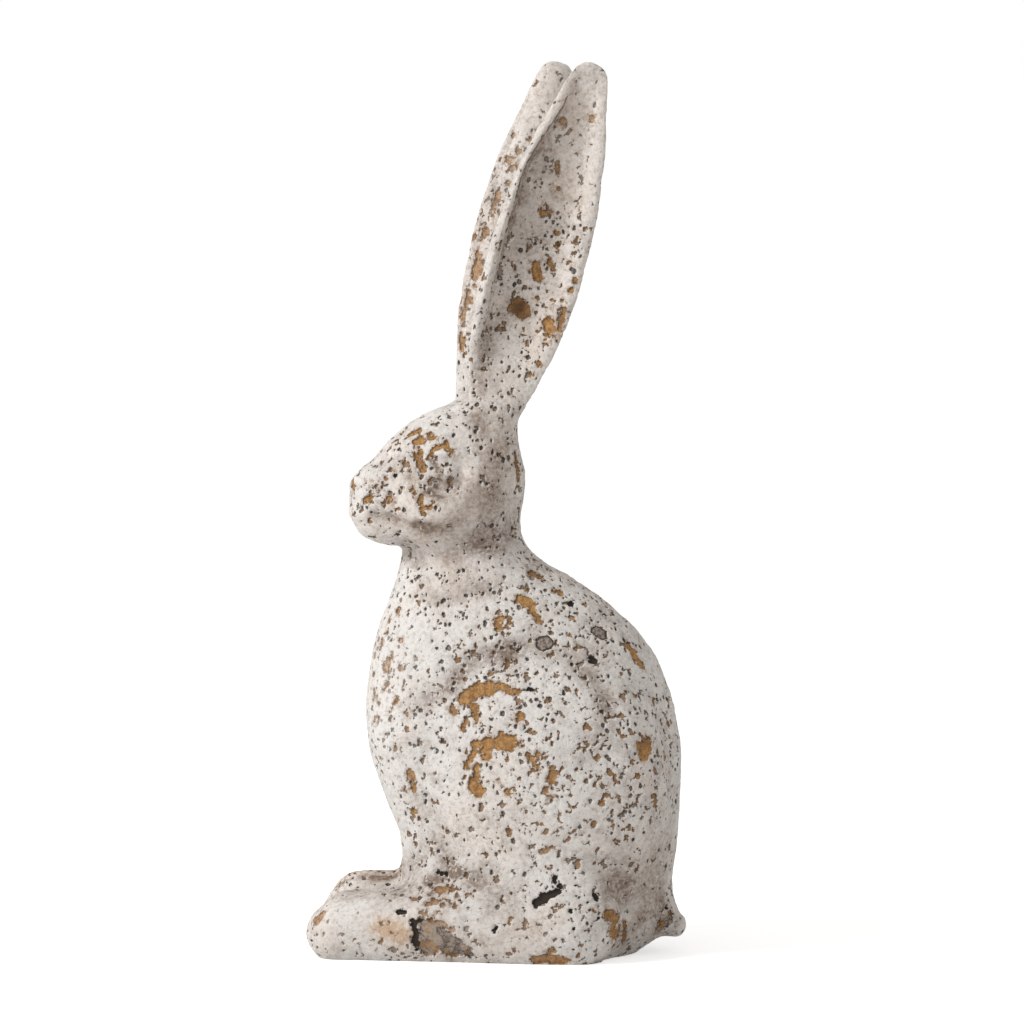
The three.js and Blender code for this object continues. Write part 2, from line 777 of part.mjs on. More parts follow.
function bodyCasting() {
  const headReach = SKULL.half + HEAD_ZONE;
  const sideReach = HEEL_SIDE + FOOT_HALF + THIGH_BLEND / 4 + BROAD_CELL;
  const eyes = HEAD_BACK + EYE.back;
  const tailZone = TAIL_TIP.back - TAIL_ZONE;
  const feetTop = FOOT_RISE[FOOT_RISE.length - 1].height + FOOT_ZONE;
  const neckLow = HEAD_UP + CHIN.up - CHIN.tall - NECK_ZONE;
  const eyesUp = HEAD_UP + EYE.up;
  const headTop = HEAD_UP + Math.max(EAR_SEAT_UP, SKULL.up + SKULL.tall, CROWN.up + CROWN.tall);
  const xs = chained(
    places(-sideReach, -headReach, BROAD_CELL),
    places(-headReach, headReach, HEAD_CELL),
    places(headReach, sideReach, BROAD_CELL),
  );
  const ys = chained(
    places(LEFT_TOE_FRONT - 2 * BROAD_CELL, eyes - EYE_ZONE.long, BROAD_CELL),
    places(eyes - EYE_ZONE.long, eyes + EYE_ZONE.long, EYE_CELL),
    places(eyes + EYE_ZONE.long, tailZone, BROAD_CELL),
    places(tailZone, TAIL_TIP.back + 3 * TAIL_TIP.radius, HEAD_CELL),
  );
  const zs = chained(
    places(TORSO[0].z - 2 * HEAD_CELL, feetTop, HEAD_CELL),
    places(feetTop, neckLow, BROAD_CELL),
    places(neckLow, eyesUp - EYE_ZONE.tall, HEAD_CELL),
    places(eyesUp - EYE_ZONE.tall, eyesUp + EYE_ZONE.tall, EYE_CELL),
    places(eyesUp + EYE_ZONE.tall, headTop + 4 * HEAD_CELL, HEAD_CELL),
  );
  const outside = solid(traced(figure(), [xs, ys, zs]));
  const inside = solid(traced(hollow, hollowGrid));
  const ground = blockAbove(new THREE.Matrix4().makeTranslation(0, 0, -FAR), FAR, FAR, FAR);
  let casting = outside.subtract(inside).subtract(ground);
  const root = EAR_SECTIONS[0];
  for (const seat of seats)
    casting = casting.subtract(
      blockAbove(seat.matrixWorld, 4 * root.half, 4 * root.back, 4 * HEAD_CELL),
    );
  for (const bore of bores) casting = casting.subtract(bore);
  return casting;
}

function headMortar() {
  let plug = solid(traced(hollow, hollowGrid, JOINT_GAP));
  plug = plug.intersect(
    blockAbove(new THREE.Matrix4().makeTranslation(0, 0, HEAD_UP - MORTAR_DEPTH), FAR, FAR, FAR),
  );
  for (const bore of bores) plug = plug.subtract(bore);
  return plug;
}

const casting = new THREE.Mesh(geometryOf(bodyCasting()), cement);
casting.name = "body_casting";
const packed = new THREE.Mesh(geometryOf(headMortar()), mortar);
packed.name = "head_mortar";
rabbit.add(casting, packed);

export default rabbit;
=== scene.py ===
"""A weathered cement rabbit, sitting up. Metres, +Z up; it faces -Y and its left side is +X.

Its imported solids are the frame. The castings get their worn skin here: the forms are drawn on to
smooth fields, creases are pressed in along lines, and pits and chips are cut into the mesh.
Sizes in the tables of forms are millimetres.
"""
import math

import bmesh
import bpy
import numpy as np
from mathutils import Matrix, Vector


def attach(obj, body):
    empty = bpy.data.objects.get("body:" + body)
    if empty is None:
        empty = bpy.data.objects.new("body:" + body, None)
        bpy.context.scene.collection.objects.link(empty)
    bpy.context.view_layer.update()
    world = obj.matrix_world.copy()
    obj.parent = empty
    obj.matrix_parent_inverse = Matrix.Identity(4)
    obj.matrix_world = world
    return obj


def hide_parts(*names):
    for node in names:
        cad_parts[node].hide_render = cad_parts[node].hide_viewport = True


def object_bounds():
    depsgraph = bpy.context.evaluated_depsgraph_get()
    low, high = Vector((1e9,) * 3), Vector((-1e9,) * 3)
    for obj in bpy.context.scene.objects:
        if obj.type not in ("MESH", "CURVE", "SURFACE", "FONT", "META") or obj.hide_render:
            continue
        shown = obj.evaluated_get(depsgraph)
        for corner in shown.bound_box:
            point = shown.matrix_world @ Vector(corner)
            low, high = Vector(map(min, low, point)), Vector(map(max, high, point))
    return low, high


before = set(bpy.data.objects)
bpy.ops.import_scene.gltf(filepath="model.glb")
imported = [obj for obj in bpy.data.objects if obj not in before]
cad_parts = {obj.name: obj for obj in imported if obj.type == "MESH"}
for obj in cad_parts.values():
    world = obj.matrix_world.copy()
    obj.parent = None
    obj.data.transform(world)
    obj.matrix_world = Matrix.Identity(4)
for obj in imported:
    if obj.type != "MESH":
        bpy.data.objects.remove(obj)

bl_info = {
    "name": "Weathered cement rabbit",
    "version": (1, 0, 0),
    "blender": (4, 5, 0),
    "location": "3D View > Sidebar > Rabbit",
    "description": "Builds the worn skin, materials and stage of a cast cement rabbit",
    "category": "Object",
}

CAD_BOX = [list(corner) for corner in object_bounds()]
MM = 0.001
BASE_SINK = 0.006  # the skin is made this far below the ground, then cut
HOLLOW_TOP = 0.207  # above this the mortar hides the hollow
FAR = 12  # mm off a mark or a seam, past which it no longer counts
# Marks scattered on the unseen sides: how many, where in their row a kind ends or starts, a seed
HIDDEN_MARKS = 90
HIDDEN_OCHRE = 55
HIDDEN_CHARCOAL = 80
HIDDEN_PEBBLES = 85
HIDDEN_SEED = 7

GROUND = (Vector((0, 0, 0)), Vector((0, 0, 1)))

# Trunk: level sections as height, front, back and half width, up to the middle of the head
TRUNK = np.array(
    [
        (-12, -20, 56, 36),
        (2, -22, 76, 38),
        (12, -25, 88, 40),
        (32, -31, 90, 43),
        (60, -44, 93.5, 46),
        (84, -57, 95, 47),
        (104, -64, 95.3, 47),
        (125, -67, 92, 46),
        (145, -65.5, 85.5, 43),
        (166, -61, 72.5, 39),
        (186, -53.5, 49.5, 32),
        (207, -47.5, 18, 26),
        (226, -44, 12.5, 24),
        (245, -39, 12, 23.5),
    ]
)
FLESH_BLEND = 13
NECK_BLEND = 8
THIGH_BLEND = 30
LIMB_BLEND = 9

HAUNCH = dict(side=28, back=26, up=85, half=30, long=62, tall=72, tilt=4)
FOOT_RISE = np.array([(-92, 34), (-77, 39), (-55, 40), (60, 40)])
FOOT_HALF = 21
TOE_HALF = 19
TOE_SIDE = 22
HEEL_SIDE = 37
HEEL_BACK = 60
SOLE_SINK = 7
TOE_FRONTS = (-97.5, -91)  # left, right

# Limbs as side, back, up and radius
SHOULDER = (15, -40, 112, 22)
WRIST = (16, -30.5, 50, 14)
PAW = (14, -40, 10, 12)
PAW_TOE = (9, -66, 7, 11)
TAIL_ROOT = (0, 72, 28, 17)
TAIL_TIP = (0, 91.5, 13.5, 6.5)

# Head, in its own frame
HEAD_UP = 245
HEAD_BACK = -16
HEAD_TURN = 16
HEAD_BLEND = 12
SKULL = dict(back=-3, up=0, half=29, long=33.5, tall=34)
HEAD_FORMS = (
    SKULL,
    dict(back=-40, up=-7.5, half=16, long=21.3, tall=17),
    dict(back=-38, up=-24, half=13, long=19, tall=10.5),
    dict(back=-22, up=7, half=19, long=22, tall=18),
    dict(back=-6, up=17, half=19, long=20, tall=16.5),
)
CHEEK = dict(side=17, back=-18, up=-16, half=14, long=22, tall=17)
EYE = dict(side=24, back=-16.5, up=3.5, half=4.2, long=7.8, tall=6.3)
SOCKET_ROOM = 4

# Ears, as the left one
EAR_SEAT = (13, 11.8, 34)
EAR_LENGTH = 185
EAR_LEAN_BACK = 15
EAR_LEAN_OUT = 6
EAR_TURN = 6
EAR_RIM = 6.5
EAR_SECTIONS = np.array(
    [
        (0, 14, 11, 8),
        (0.07, 17.5, 12, 2),
        (0.18, 22.5, 14.5, -5),
        (0.32, 25.3, 17, -8.5),
        (0.48, 25.6, 18, -10),
        (0.61, 24, 17, -9.5),
        (0.75, 20, 14, -7.5),
        (0.86, 14.8, 10.5, -4.5),
        (0.94, 11.4, 7.5, -1.5),
        (0.98, 8.4, 4.8, 0.4),
        (0.995, 5, 2.8, 1.4),
    ]
)  # share of the length, half width, depth of the rounded back, height of the face


def front_rim(along, half):
    """The width of the rolled front edge as a share of the ear's half width."""
    waist = np.exp(-(((along - 0.68) / 0.1) ** 2))
    return np.minimum((EAR_RIM - 2.6 * waist) / half, 0.42)


def hollow_shape(rim):
    """The ear's face from its rear edge to its front one: place, share of the hollow's depth."""
    return np.array(
        [
            (-1, 0),
            (-0.85, -0.08),
            (-0.68, 0.12),
            (-0.38, 0.78),
            (0.15, 1),
            (0.85 - rim, 0.95),
            (1 - rim, 0.1),
            (1 - 0.55 * rim, -0.28),
            (1, 0),
        ]
    )


# Creases of the casting as line, width and height, which is below zero for a crease. They are
# given as on the left side, and those of the head in its frame
HEAD_CREASES = (
    ([(11, -50, -17.5), (13.5, -44.5, -18.5), (19, -36, -20.5), (25.5, -27.5, -23.7),
      (29, -18, -24), (30, -10.7, -21), (30.5, -5.5, -16)], 3.5, -2.2),
    ([(23, -27, 11), (26, -20, 14), (26, -12, 14)], 3.4, 1.6),
    ([(25, -26.5, -5.5), (26.5, -20.5, -7.5)], 3, -1.2),
)
BODY_CREASES = (
    ([(36, -36, 133), (39, -28, 143), (41, -13, 151), (41, 8, 158.5), (39, 20, 161.5),
      (37.5, 35, 154.5), (38, 49, 145), (40, 56, 134)], 5.5, -2),
    ([(30, -30, 183.5), (33, -16, 187), (32, 0, 189.5)], 4.5, -1.1),
    ([(14, -43, 205), (22, -33, 203.5), (26, -13, 206.5), (20, 2, 213.5)], 4, -1.3),
    ([(37, -36, 81), (41, -30.5, 64), (43, -25, 49)], 5, -2.2),
    ([(42, -31, 44), (49, -19, 43.5), (53, -8, 43)], 3.5, -2.2),
    ([(52, 51, 51), (47, 60, 41), (40, 68, 31), (36, 73, 18)], 7, -2.5),
    ([(8, 74, 46), (16, 84, 30), (20, 84, 8)], 4, -1.5),
)

# Fields: the distance from each point to a form, negative inside it


def ellipsoid(back, up, half, long, tall, side=0, tilt=0):
    size = np.array((half, long, tall), float)
    cos, sin = math.cos(math.radians(tilt)), math.sin(math.radians(tilt))

    def field(p):
        v, w = p[:, 1] - back, p[:, 2] - up
        q = np.stack([p[:, 0] - side, v * cos - w * sin, v * sin + w * cos], 1)
        near = np.linalg.norm(q / size, axis=1)
        slope = np.linalg.norm(q / size**2, axis=1)
        return near * (near - 1) / np.maximum(slope, 1e-9)

    return field


def line_share(p, a, b):
    """How far along the line a to b each point lies, and its distance from it."""
    run = b - a
    t = np.clip(((p - a) @ run) / (run @ run), 0, 1)
    return t, np.linalg.norm(p - a - t[:, None] * run, axis=1)


def limb(start, end):
    a, b = np.array(start, float), np.array(end, float)

    def field(p):
        t, away = line_share(p, a[:3], b[:3])
        return away - (a[3] + t * (b[3] - a[3]))

    return field


def between(sections, column, at):
    """A smooth value between sections whose first column is their place."""
    places, values = sections[:, 0], sections[:, column]
    t = np.clip(at, places[0], places[-1])
    i = np.clip(np.searchsorted(places, t, side="left") - 1, 0, len(places) - 2)
    last = len(places) - 1
    n = np.arange(last + 1)
    low, high = np.maximum(n - 1, 0), np.minimum(n + 1, last)
    slopes = (values[high] - values[low]) / (places[high] - places[low])
    gap = places[i + 1] - places[i]
    s = (t - places[i]) / gap
    return (
        values[i] * (1 + 2 * s) * (1 - s) ** 2
        + slopes[i] * gap * s * (1 - s) ** 2
        + values[i + 1] * s * s * (3 - 2 * s)
        + slopes[i + 1] * gap * s * s * (s - 1)
    )


def trunk(p):
    z = p[:, 2]
    front, back = between(TRUNK, 1, z), between(TRUNK, 2, z)
    half, long = between(TRUNK, 3, z), (back - front) / 2
    v = p[:, 1] - (front + back) / 2
    near = np.hypot(p[:, 0] / half, v / long)
    slope = np.hypot(p[:, 0] / half**2, v / long**2)
    level = near * (near - 1) / np.maximum(slope, 1e-9)
    return np.maximum(level, np.maximum(z - HEAD_UP, TRUNK[0, 0] - z))


def smooth_min(a, b, width):
    h = np.maximum(width - np.abs(a - b), 0) / width
    return np.minimum(a, b) - h * h * width / 4


def joined(width, *fields):
    def field(p):
        out = fields[0](p)
        for other in fields[1:]:
            out = smooth_min(out, other(p), width)
        return out

    return field


def carved(width, whole, tool):
    return lambda p: -smooth_min(-whole(p), tool(p), width)


def mirrored(p):
    return np.column_stack([np.abs(p[:, 0]), p[:, 1:]])


def away_from(points, path):
    """The distance of each point from a line of places, or from a single one."""
    path = np.array(path, float)
    ends = list(zip(path, path[1:])) or [(path[0], path[0] + 1e-3)]
    return np.min([line_share(points, a, b)[1] for a, b in ends], axis=0)


def pressed(lines, points, base=0.0):
    """A value at each point that soft lines raise or lower."""
    out = np.full(len(points), float(base))
    for path, width, height in lines:
        out += height * np.exp(-((away_from(points, path) / width) ** 2))
    return out


def both_sides(field):
    return lambda p: field(mirrored(p))


def moved(matrix, p):
    m = np.array(matrix)
    return p @ m[:3, :3].T + m[:3, 3]


HEAD_FRAME = Matrix.Translation((0, HEAD_BACK, HEAD_UP)) @ Matrix.Rotation(
    math.radians(HEAD_TURN), 4, "Z"
)
TO_HEAD = HEAD_FRAME.inverted()


def ear_frame():
    along = Vector(
        (math.tan(math.radians(EAR_LEAN_OUT)), math.tan(math.radians(EAR_LEAN_BACK)), 1)
    ).normalized()
    turn = math.radians(EAR_TURN)
    opening = Vector((math.cos(turn), -math.sin(turn), 0))
    outward = (opening - along * opening.dot(along)).normalized()
    chord = outward.cross(along)
    frame_of_ear = Matrix((chord, outward, along)).transposed().to_4x4()
    frame_of_ear.translation = EAR_SEAT
    return frame_of_ear


EAR_FRAME = ear_frame()
TO_EAR = EAR_FRAME.inverted()
SIDES = {"left": Matrix.Identity(4), "right": Matrix.Diagonal((-1, 1, 1, 1))}
EAR_PLACES = {side: HEAD_FRAME @ flip @ EAR_FRAME for side, flip in SIDES.items()}


def ear_stub(p):
    root = EAR_SECTIONS[0]
    q = moved(TO_EAR, p)
    long, thick = root[1], (root[2] + root[3]) / 2
    v = q[:, 1] - (root[3] - root[2]) / 2
    near = np.hypot(q[:, 0] / long, v / thick)
    slope = np.hypot(q[:, 0] / long**2, v / thick**2)
    level = near * (near - 1) / np.maximum(slope, 1e-9)
    return np.maximum(level, q[:, 2] - 6)


def grown(form, by):
    return {k: v + by if k in ("half", "long", "tall") else v for k, v in form.items()}


def head():
    solid = joined(
        HEAD_BLEND,
        *(ellipsoid(**form) for form in HEAD_FORMS),
        both_sides(ellipsoid(**CHEEK)),
    )
    socket = dict(grown(EYE, SOCKET_ROOM), side=EYE["side"] + 2 * SOCKET_ROOM)
    socketed = carved(SOCKET_ROOM, solid, both_sides(ellipsoid(**socket)))
    eyed = joined(SOCKET_ROOM / 2, socketed, both_sides(ellipsoid(**EYE)))
    stub = both_sides(ear_stub)
    return joined(HEAD_BLEND, eyed, lambda p: np.maximum(stub(p), -p[:, 2]))


def hind_foot(toe_front):
    toe = (TOE_SIDE, toe_front + TOE_HALF, 0, TOE_HALF)
    heel = (HEEL_SIDE, HEEL_BACK - FOOT_HALF, 0, FOOT_HALF)
    level = limb(toe, heel)

    def field(p):
        height = between(FOOT_RISE, 1, p[:, 1])
        up = (p[:, 2] - (height - SOLE_SINK) / 2) * FOOT_HALF / ((height + SOLE_SINK) / 2)
        return level(np.column_stack([p[:, :2], up]))

    return field


def creased(points):
    """The height that the casting's creases add at each point."""
    in_its_head = mirrored(moved(TO_HEAD, points))
    return pressed(BODY_CREASES, mirrored(points)) + pressed(HEAD_CREASES, in_its_head)


def figure():
    in_head = head()
    core = joined(
        NECK_BLEND, trunk, lambda p: in_head(moved(TO_HEAD, p)), limb(TAIL_ROOT, TAIL_TIP)
    )
    foreleg = joined(FLESH_BLEND, limb(SHOULDER, WRIST), limb(WRIST, PAW), limb(PAW, PAW_TOE))
    haunch = ellipsoid(**HAUNCH)
    left, right = (joined(THIGH_BLEND, haunch, hind_foot(front)) for front in TOE_FRONTS)
    flip = np.array((-1, 1, 1))
    body = joined(FLESH_BLEND, core, both_sides(foreleg))
    return joined(LIMB_BLEND, body, left, lambda p: right(p * flip))


# Finer lines of the face and the foot, given in the same way
HEAD_LINES = (
    ([(24.4, -24, 12.5), (24.8, -23, 8.3), (25.8, -21, 3.5), (26, -21, -3.4)], 1, -1.2),
    ([(26.5, -22.5, 8.5), (28.5, -16.5, 10.2), (28.5, -10, 7)], 1.1, -0.9),
    ([(26.5, -22, -2.5), (28.5, -16.5, -3.6), (28.5, -10.5, -1)], 1.3, -0.9),
    ([(3, -59, -18), (11, -50.5, -17.5), (14.5, -44, -18.5)], 4.5, 1.8),
    ([(1.5, -60.5, -7), (5.5, -58.5, -5.5), (7, -56.5, -3)], 1.4, -1),
    ([(0, -61, -9), (0, -60.5, -18)], 1, -0.8),
    ([(10, -52, -12), (16, -42, -13), (21, -31, -13)], 5, 0.8),
)
BODY_LINES = (
    ([(41, 8, 158.5), (39, 20, 161.5), (37.5, 35, 154.5), (38, 49, 145)], 6, 0.8),
    ([(31, -94, 27), (34, -80, 33), (36, -62, 35)], 1.8, -0.5),
    ([(44, -22, 24), (52, -8, 12), (54, 0, 2)], 1.6, -0.9),
    ([(47, -20, 26), (54, -5, 13), (57, 3, 3)], 1.3, -0.6),
)
# The feet aren't alike: the left one is lower on top, and the right one a little rounder
FOOT_LINES = (
    ([(22, -90, 33), (24, -72, 39), (29, -46, 41)], 12, -3.2),
    ([(-21, -78, 38), (-22, -60, 40)], 9, 0.9),
)


def dots(*marks):
    """Round marks, given as side, back, up and radius."""
    return tuple(([mark[:3]], mark[3]) for mark in marks)


# Places where the wash came off, as lines and a radius in mm, on the left side
OCHRE = (
    ([(43, -16.5, 134.5), (43.5, -10, 139), (44.5, -3, 140.5)], 3.4),
    ([(44.7, 0, 141.8), (46, 5.5, 140.3), (47, 10, 138.8)], 2),
    ([(46, -11.3, 131), (47, -9.6, 124)], 1.8), ([(51, -4.5, 113.7), (51.5, -5, 107)], 3.1),
    ([(50, -10.5, 112.5), (50.5, -7, 112.5)], 1.8), ([(52.8, 2.5, 114.3), (53.5, 7, 113.3)], 4),
    ([(50, -11.8, 107.6), (49, -15, 101.2)], 1.4), ([(51.3, -10, 100.5), (51.3, -10, 96)], 1.8),
    ([(51.5, -11.5, 93), (51.7, -9, 88.5)], 3.2), ([(48, 24.5, 132), (48.5, 27.5, 132)], 1.7),
    ([(42, -23.5, 130), (43, -20.5, 128)], 1.5), ([(46.5, -15.6, 123.5), (45.5, -17, 119)], 1.2),
    ([(55, 21, 108), (54.5, 22, 103)], 1.4), ([(55.5, 18.3, 105.5), (56, 21, 100)], 1.6),
    ([(56, 28.5, 99.5), (56.3, 28, 95.5)], 2.2), ([(57, 25.5, 90), (57, 27.5, 86)], 1.7),
    ([(54, 1.5, 94.5), (54, 3.8, 92)], 1.1), ([(36, -44, 96), (35.4, -42.2, 88)], 1.8),
    ([(29, -51.4, 133), (27.5, -52.5, 126)], 1.5), ([(20.1, -55.1, 152.3), (19, -56, 147)], 1.7),
    ([(31, 13, 184), (32, 17.5, 182)], 2.9), ([(33, 19, 178), (33.5, 22, 173.5)], 1.6),
    ([(19.5, 17, 196), (19, 22, 194), (20, 23, 190.5)], 2.4),
    ([(22, 27.5, 187), (22, 33, 188)], 1.4), ([(36.6, 0.6, 173.3), (36, 3, 176)], 2),
    ([(20, 67, 160), (21, 71.5, 154), (19, 74.5, 148.5)], 1.8),
    ([(43.5, 75, 106), (41, 78, 113)], 3.2), ([(44, 72, 111), (43, 71, 106)], 1.8),
    ([(23, -41.5, 265), (24.5, -37.5, 265.5)], 1.7), ([(25, -36, 267), (25, -31, 266.5)], 1.1),
    ([(26, -41, 258.5), (27.5, -38.5, 256)], 1.4), ([(28.6, -38.5, 253), (29, -37, 250.5)], 1.4),
    ([(28.5, -34.5, 257), (27.5, -31.5, 261), (28, -27, 262)], 1.3),
    ([(28.3, -24.5, 261.5), (28.8, -21.5, 258.8)], 1.4),
    ([(11.5, -73, 243), (12, -72, 247.5)], 1.4), ([(26.1, -65.5, 234.5), (26, -62, 236.5)], 1.4),
    ([(28.9, -53.3, 234.4), (28, -56, 233)], 1.2),
    ([(34.9, -38, 237), (35.5, -37.3, 231.5), (36, -33, 231.5)], 0.8),
    ([(13, 11, 258), (13, 12.5, 248), (13, 12.5, 240)], 1.3),
    ([(2, 20.5, 353), (2, 21.5, 347)], 2.6), ([(3.1, 10.8, 332), (3.1, 13.5, 330)], 4.2),
    ([(5.5, 27, 324), (5.5, 29.5, 318)], 3), ([(4.9, 34.8, 336), (5, 34, 331)], 1.7),
    ([(4.5, 31, 404.5), (4.5, 31.5, 400.5)], 1.2), ([(-11.4, -9.7, 354), (-11.2, -11, 347)], 1.9),
    ([(-11.1, -18, 330), (-11, -17, 322)], 1.4), ([(-9.6, -18.5, 317), (-9.6, -18, 310)], 1.2),
    ([(-17.5, 0.3, 390), (-17, -0.3, 380)], 1.3), ([(-14, -10, 371), (-13.5, -9, 366)], 1.6),
    ([(52, 56.5, 26), (48, 61.5, 22.5)], 3.3), ([(49, 57.5, 20), (46, 60, 14)], 3),
    ([(42, 64, 17), (42, 62.5, 10), (41, 62, 3)], 2.5),
    ([(53.5, 20, 1.5), (54, 26, 3), (54, 34, 2)], 2.9),
    ([(44.5, -30.5, 38), (45, -24.5, 38)], 1.9), ([(32.6, -92.3, 20.3), (33.5, -90, 23)], 2),
    ([(31, -94.5, 23), (33, -91.5, 27.5)], 1.7), ([(-18.7, -81, 31.5), (-18.7, -75, 33.5)], 2),
    ([(47.5, -34.5, 21.8), (49, -28.4, 21), (50.5, -22.3, 17.6)], 0.85),
    ([(45.5, -37.6, 8.2), (46.1, -30.4, 6.8)], 2.1),
    ([(7.7, 34.7, 330.5), (7.4, 32.7, 320.3)], 1.4),
    ([(2, 26.6, 354.7), (2.3, 28.6, 351.7)], 0.85),
    ([(-15.4, -6.2, 371.5), (-14.1, -5.7, 368.4)], 1.4),
    ([(-13.6, -9.8, 359.2), (-10.1, -8.2, 349.1)], 1.5),
    ([(-10.9, -14.4, 338.8), (-10.2, -16.4, 328.6)], 1.5),
    ([(-8.6, -17.4, 314.3), (-9.1, -18.5, 310.2)], 1.3),
    ([(17, -73.4, 243.2), (20.3, -72.8, 239.8)], 1.2),
    ([(25.8, -63, 242.8), (26.5, -61, 242.3)], 0.55),
    ([(28.5, -54.3, 236.4), (29.5, -52.3, 233.4)], 1.1),
    ([(26, -65, 234.7), (26.7, -63, 236.7)], 0.9),
    ([(31.8, -43.1, 241.2), (33.2, -41, 239.3)], 0.6),
    ([(31.7, -27.8, 250.4), (30, -23.8, 243.6)], 0.55),
    ([(18.2, -43.8, 267.8), (19.4, -39.7, 269.4)], 1.1),
    ([(22.3, -35.1, 268.6), (24.6, -31.5, 266.7)], 0.95),
    ([(24.8, -41.1, 261.6), (27.1, -38.1, 259.2), (28.8, -39, 253.7)], 0.8),
    ([(28.1, -29.9, 261.3), (27.2, -25.3, 263.8)], 0.9),
    ([(28.9, -22.3, 260.3), (29.2, -23.3, 257.3)], 0.95),
    ([(13.4, -58.8, 158.8), (13.3, -58.3, 161.4)], 1.2),
    ([(13.7, -62.9, 136.2), (16.8, -61.8, 133)], 1.2),
    ([(34.7, 66.3, 18), (32.3, 65.4, 9.9)], 1.5),
    *dots(
        (54, 11.5, 112.7, 2.3), (52, 11.7, 126, 2.4), (44.5, 24.8, 141.5, 1.6),
        (55.5, 6.2, 89, 1.7), (35.9, -36.9, 228.3, 1), (31, -24, 223.5, 1.2), (4, 27, 353.5, 1.6),
        (8.5, 33.7, 425.8, 2.1), (10.1, 48.4, 428.4, 1.8), (3.5, 31.5, 392, 1.4),
        (-22.9, 11.3, 411.3, 1.4), (-20.5, 8, 402, 1.5), (55, 50, 29, 1.8), (55.5, 27, 7.5, 1.7),
        (44.6, -27, 33.5, 1), (43.5, -38, 36, 1.3), (47.4, -36, 16.7, 1.5),
        (46.7, -33.5, 9.9, 1.4), (46.7, -26.8, 34, 1.2), (48.9, -20.2, 34.8, 1.2),
        (45.1, -35, 30.2, 1.1), (50.1, -20.2, 29.8, 0.95), (47.9, -26.8, 30.1, 0.95),
        (43.1, -34, 35, 0.85), (40.6, -38.1, 35.7, 0.95), (45.1, -31.9, 32.8, 0.8),
        (48.3, -23.8, 32.2, 0.8), (40.7, -42.7, 33.2, 0.85), (37.5, -47.3, 34.8, 0.8),
        (47.8, -29.9, 26.5, 0.8), (7.4, 34.2, 335.1, 1.2), (7.9, 37.8, 340.7, 1.4),
        (8.1, 40.8, 346.3, 1.2), (7.3, 22, 302.9, 1.1), (7.4, 17.4, 296.7, 0.85),
        (2.2, 31.2, 369.6, 1.4), (3, 25, 383.9, 0.85), (2.5, 28.1, 380.3, 0.85),
        (2.5, 16.4, 362.4, 0.95), (2, 23, 365.5, 0.85), (2.8, 24, 379.8, 1.4),
        (6.7, 25, 315.1, 0.95), (7.4, 29.1, 315.1, 1.1), (2.4, 21, 336.4, 0.95),
        (2.2, 17.9, 354.8, 0.85), (6.5, 37.3, 354.9, 0.85), (-18.6, -11.3, 367.3, 1.4),
        (-24.9, 17.5, 417.4, 0.95), (-23, 12.3, 411.3, 1.4), (-18.2, 6.1, 394.5, 1.2),
        (-20.4, 10.8, 403.1, 1.2), (-15.4, -2.1, 378.1, 1.1), (-14.4, -18.5, 334.6, 1.1),
        (-9.5, -13.3, 334.8, 1.2), (-9.9, -11.3, 341.9, 1.2), (-26, 2, 407.1, 0.95),
        (-27.7, 8.7, 418.9, 0.85), (-21.9, -10.3, 375.4, 1.1), (12.1, -67.9, 250.5, 0.8),
        (24.4, -66.1, 243.7, 0.6), (26.7, -57.4, 243.4, 0.7), (27.2, -59.4, 238.8, 0.6),
        (26.9, -58.9, 232.7, 0.7), (30.1, -48.2, 240.1, 0.55), (26.1, -51.3, 249.5, 0.6),
        (25.9, -47.7, 254, 0.55), (21.1, -60.5, 251.6, 0.55), (28.3, -43.6, 250.1, 0.55),
        (26.1, -55.9, 245.9, 0.55), (35.6, -32.4, 234.4, 0.7), (12.5, -47.9, 268.4, 0.85),
        (3.8, -63.6, 153.2, 1.1), (8.6, -60.4, 161.4, 0.95), (14.5, -63.4, 131.2, 0.95),
        (21.1, -62.3, 121.6, 0.85), (21.7, -57.1, 137.1, 0.85), (26.3, -48.9, 148.8, 1.1),
        (35, -44.7, 127.2, 0.85), (33, -46.3, 87, 0.95), (32.9, -41.7, 75.8, 1.1),
        (39.9, -27.9, 63.3, 0.8), (43.5, -24.8, 66.8, 0.8), (8.2, -62.5, 153.2, 1.2),
        (11.2, -62.9, 144.2, 1.3), (21.4, -59.7, 130.4, 1), (24.1, -60.2, 123, 1.1),
        (14.4, -56.2, 165.6, 1.1), (13.3, -54.7, 171.6, 1), (15.9, -50.5, 177, 1.2),
        (21.8, -53, 154.5, 1.1), (18.5, -57.2, 150.1, 1), (22.8, -49.4, 162.8, 1),
        (21.8, -56.1, 140.1, 1), (13.1, 86.2, 15, 1.9), (9.9, 89.8, 19.7, 1.5),
    ),
)
BROKEN = (
    ([(47.2, -36.5, 15), (48, -35, 6)], 5.6),
    ([(47.5, -34, 17), (48.5, -28, 12), (49.5, -22, 7)], 6),
    ([(50.5, -19, 8), (51.5, -14, 4)], 4.5), ([(14, 83, 13), (10, 88.5, 18)], 3.6),
)
